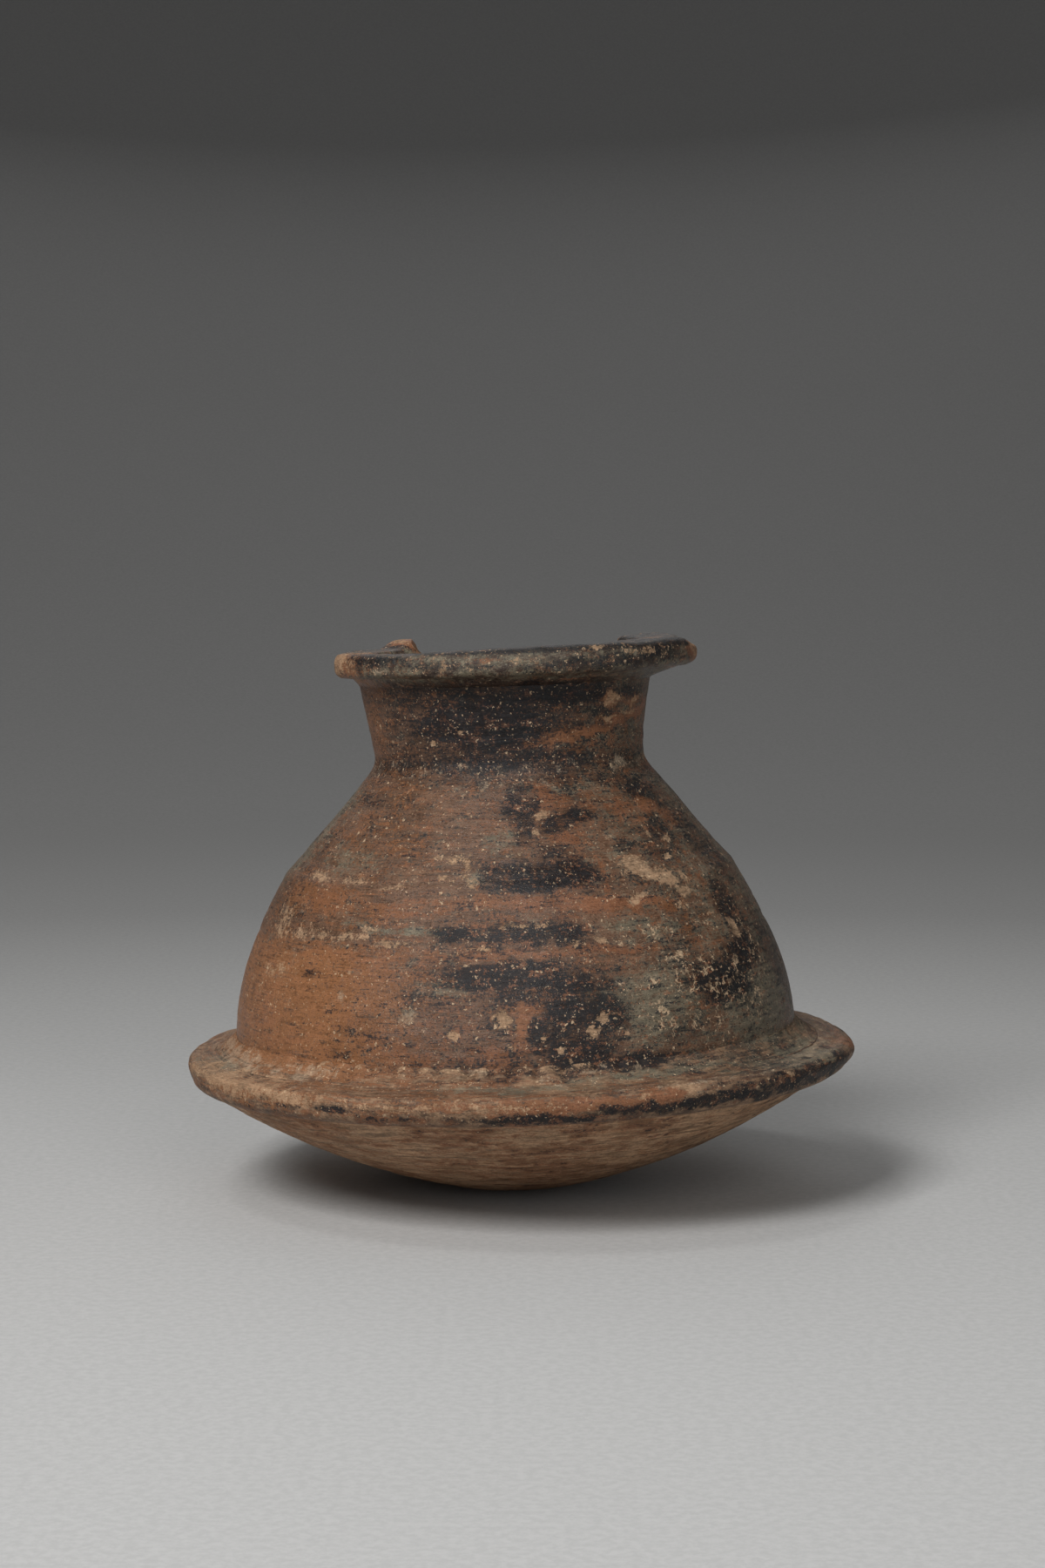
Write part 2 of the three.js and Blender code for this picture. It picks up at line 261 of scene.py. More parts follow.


# Painted fields

# What the slip and the fire left where, besides a few black marks of painted shadow and painted light noted
# below. A mark is its place, in degrees from the front towards the right and millimetres up the axis, then
# its half width and half height in millimetres and its strength in hundredths.
BLACK = (
    (3, 60, 11.2, 3.5, 100), (-7, 60, 9, 3, 100), (10.8, 57.9, 7.8, 3, 94), (18, 57.7, 6.7, 3, 61),
    (2, 56.5, 9, 4, 67), (-12, 69.5, 6.7, 1.9, 89), (3, 68.8, 8, 3.4, 90), (12, 68.4, 6, 3.2, 95),
    (4, 68.2, 14, 1.6, 80), (-4.5, 82.2, 3.9, 2.2, 83), (6.5, 80.8, 9, 4.4, 85), (16, 81, 6, 4, 85),
    (9, 79.5, 12, 2, 100), (4.8, 94.9, 4, 9.4, 74), (15, 91.8, 5.6, 2.3, 72), (22, 93.4, 5.6, 2.2, 83),
    (12, 86, 6.7, 2.7, 61), (13, 43.6, 9, 5.4, 100), (5.8, 46.7, 2.7, 5.4, 94), (10, 52, 7, 5, 90),
    (18, 51, 6, 5, 85), (20, 40.5, 13.4, 2.2, 94), (47, 55, 12, 6.5, 95), (56, 60, 9, 5.4, 85),
    # The marks at 68 and 60 degrees here and at 74 degrees below, on the right edge, are weakened partly as
    # painted light on the right side.
    (48, 37.8, 30, 2.5, 42), (34, 49, 13, 9, 42), (68, 86, 7.8, 13.5, 62), (60, 71, 7.8, 8.1, 70),
    (58.5, 97.7, 10.1, 3.2, 72), (42, 100.4, 9, 2.4, 60), (52, 88, 5.6, 5.4, 61), (74, 62, 9, 16.2, 40),
    (46, 85, 6.7, 4, 56), (34, 86, 5.6, 2.7, 56), (-8, 115, 16, 8, 100), (-24, 109, 9, 4, 50),
    # The first two marks on the next line, at about 121 mm just under the lip, are partly painted shadow of
    # the lip.
    (-38, 120.5, 20, 2.4, 45), (20, 121, 20, 3.4, 80), (0, 106, 18, 2, 75), (25, 106, 12, 1.6, 60),
    (40, 117, 6, 4, 50), (60, 121, 10, 2.4, 60), (-30, 114, 10, 5, 60), (-22, 48, 15, 6, 30),
    (-53, 96, 4.5, 1.9, 50), (-60, 98, 5.6, 1.6, 45), (-46.8, 60.1, 3, 1, 50), (-12, 41.4, 14, 0.8, 55),
    (-36, 42.5, 4.5, 1.08, 40), (35, 31.8, 26, 1.5, 100), (5, 31, 22, 1.1, 85), (-20, 31, 14, 0.8, 35),
    (62, 33, 16, 2.4, 95), (40, 34.5, 8, 0.8, 60), (48, 33.4, 8, 2.4, 80), (-31.3, 32.6, 4.5, 0.7, 95),
    (-40, 32.4, 4, 0.5, 60), (34, 34.2, 4, 1.4, 50), (-20, 128.5, 16, 1.2, 50), (30, 128, 20, 2, 60),
    (-50, 130, 14, 2, 70), (52, 130, 9, 3, 70),
)
RED = (
    (-55, 53, 24, 15, 85), (-34, 48.5, 14, 6, 75), (-60, 62, 20, 4, 70), (-38, 63.8, 24, 1.8, 85),
    (0, 64.6, 30, 1.3, 80), (23, 64.6, 14, 1.2, 75), (1.8, 50, 3.6, 6, 95), (-3.2, 42.4, 6, 3, 85),
    (-22, 42.4, 14, 2.4, 70), (-14, 54, 8, 2, 50), (-28, 55, 7, 3, 55), (3, 53, 5, 1.6, 60),
    (-8, 56, 6, 1.4, 50), (23.5, 74.6, 16, 2, 95), (0, 75.8, 18, 1.8, 85), (-25, 74.5, 16, 2, 75),
    (-55, 75.5, 18, 4, 85), (40, 73, 8, 2, 70), (52, 78, 6, 3, 60), (60, 76, 5, 3, 50),
    (5, 71.6, 16, 1, 70), (46, 64, 10, 1.6, 60), (12.8, 97.5, 4, 4, 80), (18, 88.6, 6, 1.6, 80),
    (24, 80.5, 1.3, 6, 75), (41, 94.5, 5, 2.2, 75), (53.5, 93.8, 6, 2.2, 90), (60, 90.5, 4, 3, 80),
    (30, 96, 6, 2, 55), (28, 90, 8, 1.4, 50), (-5, 92, 3, 3, 45), (10, 109.4, 7, 1.2, 75),
    (24, 110.4, 7, 1.4, 90), (38, 112, 7, 1.5, 95), (52, 113.6, 7, 1.6, 100), (66, 115, 7, 1.8, 100),
    (44, 110, 18, 4, 45), (62, 118.4, 5, 2.2, 90), (30, 107.4, 10, 1, 50), (55, 108, 10, 1.2, 60),
    (47.5, 119.2, 5.4, 2.3, 100), (45.8, 115.1, 4.2, 1.3, 95), (75, 116.8, 4, 3, 95),
    (-72, 113, 9, 10, 75), (-55, 106, 8, 2, 50), (-60, 90, 10, 6, 50), (-30, 88, 10, 6, 40),
    (-48, 34.6, 30, 2.2, 80), (0, 33.6, 34, 1.6, 95), (22, 34, 8, 1.4, 100), (50, 34, 4, 0.9, 90),
    (57, 33.6, 7, 0.7, 70), (86, 34, 8, 2, 90), (80, 35, 5, 1.2, 80), (-90, 34, 14, 2, 70),
    (-78, 128.5, 19, 8, 100), (-139, 134, 8, 4, 100), (80, 129.5, 10, 5, 100), (30, 131.5, 7, 0.8, 60),
    (-60, 130, 8, 2, 50),
)
TAN = (
    (34, 81.6, 4.5, 1.5, 100), (38, 80.2, 4, 1.4, 95), (42, 78.2, 3.6, 1.8, 100),
    (46, 75.6, 2.4, 1.5, 85), (47.8, 82.7, 1.4, 0.7, 95), (48.5, 78.4, 2, 1.2, 62),
    (31, 75.3, 2.3, 1.1, 95), (58, 65.6, 1.7, 2.6, 90), (56, 67.5, 1.4, 1, 80),
    (43.8, 72.5, 2.6, 1.2, 60), (18, 50.4, 1.4, 1.3, 100), (16, 47.6, 1.5, 1.4, 100),
    (9, 43.7, 0.9, 0.9, 95), (10.8, 41.4, 0.6, 0.6, 95), (22, 46.4, 0.6, 0.5, 90),
    (-2.2, 50.7, 1.7, 1.4, 100), (-11.2, 47.5, 1.2, 1.1, 95), (6, 46.4, 0.6, 0.8, 60),
    (-1, 45.6, 1.2, 1.6, 50), (-15, 85.4, 4, 1.6, 62), (-11, 83, 2.2, 3, 58), (-9.5, 79.8, 2.4, 1.8, 64),
    (-16.5, 80.8, 2, 1.4, 50), (-44.8, 79.9, 8, 0.9, 64), (-58, 80.4, 6, 1, 68), (-30, 79, 4, 0.7, 60),
    (-64.8, 69, 4, 3.6, 64), (-50, 68, 9, 1.6, 62), (-38, 68, 7, 1, 66), (-26, 66.8, 5, 0.8, 62),
    (-66, 72, 4, 3, 60), (-60, 60, 8, 2, 50), (-34, 70, 3, 0.8, 60), (13, 66.6, 2, 1.2, 70),
    (20, 66.5, 3, 0.9, 80), (4, 70.6, 7, 0.7, 60), (-6, 66, 6, 0.6, 50), (11.5, 94, 1.4, 1, 80),
    (8.5, 90.5, 1.2, 0.7, 70), (52.5, 86.6, 1.2, 0.9, 70), (45, 88, 1.2, 0.8, 60),
    (-31.3, 110.2, 0.8, 0.5, 90), (-54.5, 110.5, 1, 0.5, 90), (-18.2, 112.8, 0.5, 0.4, 90),
    (-62, 114, 0.6, 0.4, 80), (-36, 60.6, 0.5, 0.4, 80), (47.5, 119.2, 3.6, 1.7, 85),
    (62, 118.4, 3, 1.2, 70), (60, 115.5, 4, 0.8, 60), (45.8, 115, 3, 0.8, 70), (-60, 35.2, 34, 1.4, 90),
    (-12, 33.7, 28, 1.1, 66), (-48, 34.4, 22, 1.8, 80), (27, 35, 2.6, 1.2, 90), (50, 34.6, 1.4, 0.8, 80),
    (20, 34.4, 3, 0.7, 60), (30, 131.6, 2.6, 0.6, 80), (-45, 127, 4, 0.6, 50), (-80, 129, 14, 5, 95),
    (-139, 135, 5, 3, 66), (80, 130, 6, 3, 62), (-20, 128, 12, 1.2, 42), (10, 129.5, 10, 1, 42),
    (45, 130, 10, 1.2, 45),
)
OLIVE = (
    (30, 52, 16, 10, 80), (60, 48, 20, 12, 85), (80, 70, 12, 30, 60), (28, 70, 9, 2, 70),
    (36, 68, 9, 2.4, 70), (-20.5, 69.7, 7, 1.2, 80), (-29, 69.7, 6, 1.1, 70), (-38, 71, 6, 0.9, 50),
    (-13, 58, 8, 2, 70), (-22, 52.6, 3, 1, 60), (-36.8, 55.5, 1.4, 1.4, 70), (20, 56, 8, 3, 60),
    (-3, 88, 4, 4, 50), (-8, 81, 4, 2, 60), (-50, 84, 12, 4, 50), (20, 99, 12, 2, 60), (66, 96, 8, 6, 50),
    (30, 84, 10, 2, 50), (-62, 94, 6, 3, 40), (60, 82, 10, 6, 45), (30, 37.5, 30, 1, 80),
    (62, 36.5, 24, 1.6, 90), (0, 36.4, 26, 0.5, 60), (-70, 36.6, 18, 0.6, 60), (8, 126.5, 8, 1.4, 70),
    (-34, 126, 8, 1.2, 40), (60, 33, 16, 2, 50),
)
DUST = (
    (-20, 104.2, 30, 1.3, 26), (-50, 103.6, 18, 1.5, 36), (30, 104.4, 30, 1.2, 30),
    (75, 104, 20, 1.6, 50), (0, 100.5, 16, 2, 36), (-72, 38.4, 26, 1.8, 80), (-45, 38.4, 14, 1.3, 70),
    (35, 35.95, 30, 0.22, 60), (66, 36, 26, 0.3, 60), (90, 36, 24, 0.3, 60), (-22, 51, 3, 2.4, 72),
    (-36.8, 55.5, 1.2, 1.2, 60), (-8, 39.6, 3, 0.8, 75), (23, 39.1, 1.4, 0.8, 80), (17, 40, 1, 0.8, 70),
    (14.5, 38.9, 4.2, 0.5, 75), (-10, 38.9, 2.4, 0.8, 80), (6, 38, 2, 0.6, 60), (8, 37.2, 1.4, 0.5, 70),
    (24.5, 57.6, 7, 0.5, 40), (-40, 127.5, 5, 0.4, 50), (12, 127.8, 1, 0.5, 70),
    (180, 104.2, 100, 1.4, 40), (180, 38.6, 90, 1.4, 60), (150, 35.95, 60, 0.25, 80),
)
SCRATCHES = (
    (38, 57.3, 5, 4, 100), (43, 59, 6, 3, 100), (30, 48.6, 5, 4, 90), (28, 56, 5, 2, 80),
    (46, 52, 5, 4, 85), (52, 57, 4, 5, 90), (36, 62, 5, 1.4, 80), (32, 68, 5, 1.4, 70),
    (24, 66, 4, 1, 60), (40, 47, 7, 3, 70), (26, 55, 4, 2, 60), (56, 50, 5, 5, 80), (48, 69, 4, 2, 60),
    (62, 62, 4, 6, 80),
)
SIDES = (-180, -90, -40, -15, 10, 60, 110, 180)
RED_BY_SIDE = (
    (30, 34, 36, 40, 34, 16, 30, 30), (40, 85, 80, 50, 34, 10, 40, 40),
    (36, 48, 36, 30, 30, 36, 34, 36), (34, 48, 30, 14, 24, 34, 34, 34),
)
# Round 60 degrees the black is kept low partly as painted light on the right side of the jar.
BLACK_BY_SIDE = (
    (14, 2, 6, 10, 14, 20, 14, 14), (26, -4, 6, 38, 38, 26, 26, 26),
    (26, 26, 22, 24, 34, 27, 30, 26), (34, 24, 42, 56, 48, 34, 30, 34),
)
GOLD_BY_SIDE = (30, 95, 80, 30, 20, 30, 30, 30)
OLIVE_SIDES = (-180, -90, -20, 15, 35, 90, 130, 180)
OLIVE_BY_SIDE = (10, 10, 20, 22, 45, 60, 25, 10)


def ground_levels(az, z):
    """How much of each colour lies everywhere between the marks, by side and height: golden and red low on
    the left, darker and greener towards the right, darkest on the neck and along the top of the lip. The
    black along the top of the lip is partly painted shade, and a band of black in the crease under the neck
    is painted shade. The levels by side are hundredths; red and black have a row each for the base, the low
    wall, the shoulder and the neck."""
    deg = signed_degrees(az)
    base = ramp(z, 38.5, 37)
    low = ramp(z, 68, 62) * (1 - base)
    lip = ramp(z, 123.5, 125)
    neck = ramp(z, 102, 106) * (1 - lip)
    zones = (base, low, 1 - low - neck - lip - base, neck)

    def by_side(rows):
        return sum(zone * np.interp(deg, SIDES, row) for zone, row in zip(zones, rows)) / 100

    red = by_side(RED_BY_SIDE) + 0.16 * lip
    # The band of black at 104 mm is painted shade in the crease under the neck; the rise near the top of the
    # lip is partly painted shade.
    black = by_side(BLACK_BY_SIDE) + lip * (0.2 + 0.5 * ramp(z, 130.6, 131.3)) + 0.2 * ridge(z, 104, 3)
    olive = (1 - 0.4 * base) * np.interp(deg, OLIVE_SIDES, OLIVE_BY_SIDE) / 100
    gold = np.interp(deg, SIDES, GOLD_BY_SIDE) / 100 * (0.6 + 0.4 * low)
    olive = np.maximum(olive, 0.5 * lip)
    return {"red": red, "black": black, "olive": olive, "tan": 0.14 * lip, "gold": gold}


FRONT_MARKS = {
    "black": BLACK, "red": RED, "tan": TAN, "olive": OLIVE, "dust": DUST, "scratch": SCRATCHES, "gold": (),
}
BACK_MARKS = {
    "black": (21, 26, (4, 16), (1.5, 6), (50, 100)),
    "red": (22, 36, (5, 18), (1.2, 6), (50, 95)),
    "tan": (23, 44, (1, 5), (0.6, 1.6), (60, 100)),
    "olive": (24, 16, (6, 18), (2, 9), (50, 90)),
    "scratch": (25, 12, (3, 7), (1.5, 5), (60, 100)),
}


def scattered(seed, count, *spans):
    """Marks for the side that the front doesn't show, at random from one seed: their azimuths and heights,
    then their half widths, half heights and strengths within the spans given."""
    rng = np.random.RandomState(seed)
    return list(zip(*(rng.uniform(*span, count) for span in ((88, 272), (38, 121), *spans))))


def painted(marks, r, az, z, xyz):
    """Highest of the marks at each place: 1 inside an oval, one half on its rim and 0 well outside it,
    with the place first shaken by random fields so that the rims are ragged."""
    shake_x = swells(xyz, (1.7, 6, 301), (1.1, 2.2, 302), (0.7, 0.9, 303))
    shake_z = 0.5 * swells(xyz, (1.5, 6, 311), (1.1, 2.2, 312), (0.7, 0.9, 313))
    field = np.zeros(r.shape)
    degrees = np.degrees(az)
    for mark_az, mark_z, half_w, half_h, strength in marks:
        near = np.abs(z - mark_z) < 1.5 * half_h + 2.5
        if not near.any():
            continue
        soft = min(1.3, 0.5 * min(half_w, 2 * half_h))
        dx = (degrees[near] - mark_az + 180) % 360 - 180
        dx = np.radians(dx) * r[near] + soft * shake_x[near]
        dz = z[near] - mark_z + soft * shake_z[near]
        reach = np.hypot(dx / half_w, dz / half_h)
        field[near] = np.maximum(field[near], strength / 100 * np.clip(1.5 - reach, 0, 1))
    return field


def paint(r, az, z, xyz, inside):
    """All the painted fields of a piece, each switched off on its inner side. Where the red is strongest
    the black and the olive are worn through. The climb is the run up the outside that streaks are counted
    along."""
    levels = ground_levels(az, z)
    fields = {}
    for name, marks in FRONT_MARKS.items():
        if name in BACK_MARKS:
            marks = [*marks, *scattered(*BACK_MARKS[name])]
        fields[name] = np.maximum(painted(marks, r, az, z, xyz), levels.get(name, 0)) * (1 - inside)
    fields["black"] = fields["black"] * (1 - 0.9 * ramp(fields["red"], 0.82, 1))
    fields["olive"] = fields["olive"] * (1 - 0.9 * ramp(fields["red"], 0.6, 0.9))
    fields["inside"] = inside
    fields["climb"] = z - r + 0 * inside
    return fields


def show_tear(fields, fresh, tan):
    """Turns the painted fields to the orange and tan of torn clay where it is fresh."""
    fields["red"] = np.maximum(fields["red"], fresh)
    fields["tan"] = np.maximum(fields["tan"], tan * fresh)
    fields["black"] = fields["black"] * (1 - fresh)


# Making meshes

def skin(name, grid, fields, wraps, corners=()):
    """A closed mesh from a grid of points. It joins round on itself along each wrapped direction, and along
    the other one each end row is a single point, which closes it. The section's points listed as corners
    lie on edges that are shaded sharp."""
    sharp = np.zeros(grid.shape[:2], bool)
    sharp[:, list(corners)] = True
    if wraps == (True, False):
        grid, sharp = grid.swapaxes(0, 1), sharp.T
        fields = {key: value.T for key, value in fields.items()}
    p, q = grid.shape[:2]
    tris = np.zeros((0, 3), np.int64)
    if all(wraps):
        def spread(values):
            return values.reshape(p * q, *values.shape[2:])
        index = np.arange(p * q).reshape(p, q)
        index = np.vstack([index, index[:1]])
    else:
        def spread(values):
            inner = values[1:-1].reshape((p - 2) * q, *values.shape[2:])
            return np.concatenate([values[0, :1], inner, values[-1, :1]])
        index = 1 + np.arange((p - 2) * q).reshape(p - 2, q)
        tris = np.concatenate([
            np.c_[np.zeros(q, int), np.roll(index[0], -1), index[0]],
            np.c_[np.full(q, (p - 2) * q + 1), index[-1], np.roll(index[-1], -1)],
        ])
    points = spread(grid)
    right = np.roll(index, -1, axis=1)
    quads = np.stack([index[:-1], right[:-1], right[1:], index[1:]], -1).reshape(-1, 4)
    a, b, c, d = (points[quads[:, k]] for k in range(4))
    volume = (a * (np.cross(b, c) + np.cross(c, d))).sum()
    if volume < 0:
        quads, tris = quads[:, ::-1], tris[:, ::-1]
    loops = np.concatenate([quads.ravel(), tris.ravel()])
    starts = np.r_[np.arange(len(quads)) * 4, len(quads) * 4 + np.arange(len(tris)) * 3]
    mesh = bpy.data.meshes.new(name)
    mesh.vertices.add(len(points))
    mesh.vertices.foreach_set("co", to_frame(points).astype(np.float32).ravel())
    mesh.loops.add(len(loops))
    mesh.loops.foreach_set("vertex_index", loops.astype(np.int32))
    mesh.polygons.add(len(starts))
    mesh.polygons.foreach_set("loop_start", starts.astype(np.int32))
    mesh.update(calc_edges=True)
    if mesh.validate():
        raise RuntimeError(f"{name}: the mesh had faults")
    mesh.polygons.foreach_set("use_smooth", np.ones(len(starts), bool))
    ends = np.empty(len(mesh.edges) * 2, np.int32)
    mesh.edges.foreach_get("vertices", ends)
    hard = spread(sharp)[ends.reshape(-1, 2)].all(axis=1)
    mesh.attributes.new("sharp_edge", "BOOLEAN", "EDGE").data.foreach_set("value", hard)
    for key, value in fields.items():
        attribute = mesh.attributes.new(key, "FLOAT", "POINT")
        attribute.data.foreach_set("value", spread(value).astype(np.float32))
    piece = bpy.data.objects.new(name, mesh)
    bpy.context.scene.collection.objects.link(piece)
    return piece


def dress(node, material, grid, fields, corners, wraps=(True, True)):
    """Makes the piece that stands for a solid, hangs it from the root, gives it the material passed in and
    hides the solid.
    """
    piece = skin(f"{node}_clay", grid, fields, wraps, corners)
    piece.data.materials.append(material)
    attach(piece, "root")
    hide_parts(node)


def place(r, az, z, shift_x=0.0):
    """Points of radius, azimuth and height, as x, y, z."""
    return np.stack([r * np.sin(az) + shift_x, -r * np.cos(az), z], -1)


def push_out(r, z, relief):
    """Closed sections, which run with the clay on their left, moved outwards along their normals."""
    dr = np.roll(r, -1, axis=1) - np.roll(r, 1, axis=1)
    dz = np.roll(z, -1, axis=1) - np.roll(z, 1, axis=1)
    length = np.maximum(np.hypot(dr, dz), 1e-9)
    return r + relief * dz / length, z - relief * dr / length


def resample(points, step):
    """A line of section points made even at about one step."""
    points = np.array(points, float)
    run = np.r_[0, np.cumsum(np.hypot(*np.diff(points, axis=0).T))]
    s = np.linspace(0, run[-1], max(2, int(round(run[-1] / step)) + 1))
    return np.c_[np.interp(s, run, points[:, 0]), np.interp(s, run, points[:, 1])]


def quarter(r, z, half_w, half_h, a0, a1, count=24):
    """Part of an ellipse about a point of the section, between two angles."""
    a = np.radians(np.linspace(a0, a1, count))
    return np.c_[r + half_w * np.cos(a), z + half_h * np.sin(a)]


def clay_relief(xyz, sizes):
    """How far hand work leaves the surface off its turned form, in mm: broad swells, long facets and
    grain."""
    broad = swells(xyz, (1, 34, 11), (0.45, 13, 12))
    facets = swells(xyz, (1, 9, 13, (1, 1, 3.5)), (0.5, 4, 14, (1, 1, 3)))
    grain = swells(xyz, (1, 1.8, 15, (1, 1, 1.6)), (0.5, 0.9, 16, (1, 1, 1.6)))
    return (sizes.unevenness * broad + sizes.facet_depth * facets + sizes.grain_depth * grain) / MM


def ring_grid(steps):
    """Azimuths of a full round, as a column."""
    return np.linspace(0, 2 * np.pi, steps, endpoint=False)[:, None]


# Materials

ELSEWHERE = (37, 11, 53)


class Nodes:
    """Short calls for the node tree of one material."""

    def __init__(self, name):
        self.material = bpy.data.materials.new(name)
        self.material.use_nodes = True
        self.tree = self.material.node_tree
        self.tree.nodes.clear()

    def add(self, kind, inputs=None, **settings):
        """A node with its settings, and its inputs, by number or name, set or joined to other outputs."""
        node = self.tree.nodes.new(kind)
        for key, value in settings.items():
            setattr(node, key, value)
        for key, value in (inputs or {}).items():
            socket = node.inputs[key]
            if isinstance(value, bpy.types.NodeSocket):
                self.tree.links.new(value, socket)
            else:
                socket.default_value = (*value, 1) if socket.type == "RGBA" else value
        return node

    def math(self, operation, a, b=0.0, clamp=False):
        return self.add("ShaderNodeMath", {0: a, 1: b}, operation=operation, use_clamp=clamp).outputs[0]

    def vector(self, operation, a, b):
        return self.add("ShaderNodeVectorMath", {0: a, 1: b}, operation=operation).outputs[0]

    def total(self, *parts):
        """Sum of values, each with its weight."""
        result = 0.0
        for value, weight in parts:
            inputs = {0: value, 1: weight, 2: result}
            result = self.add("ShaderNodeMath", inputs, operation="MULTIPLY_ADD").outputs[0]
        return result

    def step(self, value, low, high):
        """0 up to the low value, 1 from the high one on and a smooth rise between them."""
        inputs = {"Value": value, "From Min": low, "From Max": high}
        return self.add("ShaderNodeMapRange", inputs, interpolation_type="SMOOTHSTEP").outputs[0]

    def mix(self, share, a, b, blend="MIX"):
        inputs = {0: share, 6: a, 7: b}
        return self.add("ShaderNodeMix", inputs, data_type="RGBA", blend_type=blend).outputs[2]

    def cover(self, colour, share, strength, over):
        """One colour laid over another where its share is high."""
        return self.mix(self.math("MULTIPLY", share, strength), colour, over)

    def noise(self, vector, scale, detail, roughness, distortion=0.0, swing=1.0):
        """Noise about zero, multiplied so that it mostly stays between -0.6 and 0.6 of its swing."""
        noise = self.add("ShaderNodeTexNoise", {
            "Vector": vector, "Scale": scale, "Detail": detail, "Roughness": roughness,
            "Distortion": distortion,
        })
        return self.total((self.math("SUBTRACT", noise.outputs[0], 0.5), swing))

    def shaken(self, vector, scale, reach):
        """The place moved about by a noise."""
        noise = self.add("ShaderNodeTexNoise", {"Vector": vector, "Scale": scale})
        return self.vector("ADD", vector, self.vector("MULTIPLY", noise.outputs["Color"], (reach,) * 3))

    def spots(self, vector, scale, size, share, crowd):
        """Round spots, one to a cell of a Voronoi texture, of sizes up to the one given, in a share of the
        cells, with more of them where the crowd value is high."""
        cells = self.add("ShaderNodeTexVoronoi", {"Vector": vector, "Scale": scale})
        random = self.add("ShaderNodeSeparateColor", {0: cells.outputs["Color"]})
        edge = self.total((random.outputs[0], size), (cells.outputs["Distance"], -1.0))
        wanted = self.total((random.outputs[1], 1.0), (crowd, 1.0))
        wanted = self.step(wanted, 1 - share, 1.04 - share)
        return self.math("MULTIPLY", self.step(edge, -0.03, 0.05), wanted)

    def field(self, name):
        return self.add("ShaderNodeAttribute", attribute_name=name).outputs["Fac"]

    def spread(self, name, low, high, *parts):
        """How much of a painted field's colour lies at each place, its rims broken up by weighted noises."""
        return self.step(self.total((self.field(name), 1), *parts), low, high)

    def millimetres(self):
        """The place on the piece, in millimetres."""
        return self.vector("MULTIPLY", self.add("ShaderNodeTexCoord").outputs["Object"], (1 / MM,) * 3)

    def round_about(self, place, stretch):
        """The place with its height swapped for the climb up the outside, stretched, so that a noise read
        there lies in streaks round the jar."""
        x, y, _ = self.add("ShaderNodeSeparateXYZ", {0: place}).outputs
        climb = self.math("MULTIPLY", self.field("climb"), stretch)
        return self.add("ShaderNodeCombineXYZ", {0: x, 1: y, 2: climb}).outputs[0]

    def finish(self, inputs):
        """The material, with a shader of these inputs joined to its output."""
        shader = self.add("ShaderNodeBsdfPrincipled", inputs)
        self.add("ShaderNodeOutputMaterial", {"Surface": shader.outputs[0]})
        return self.material


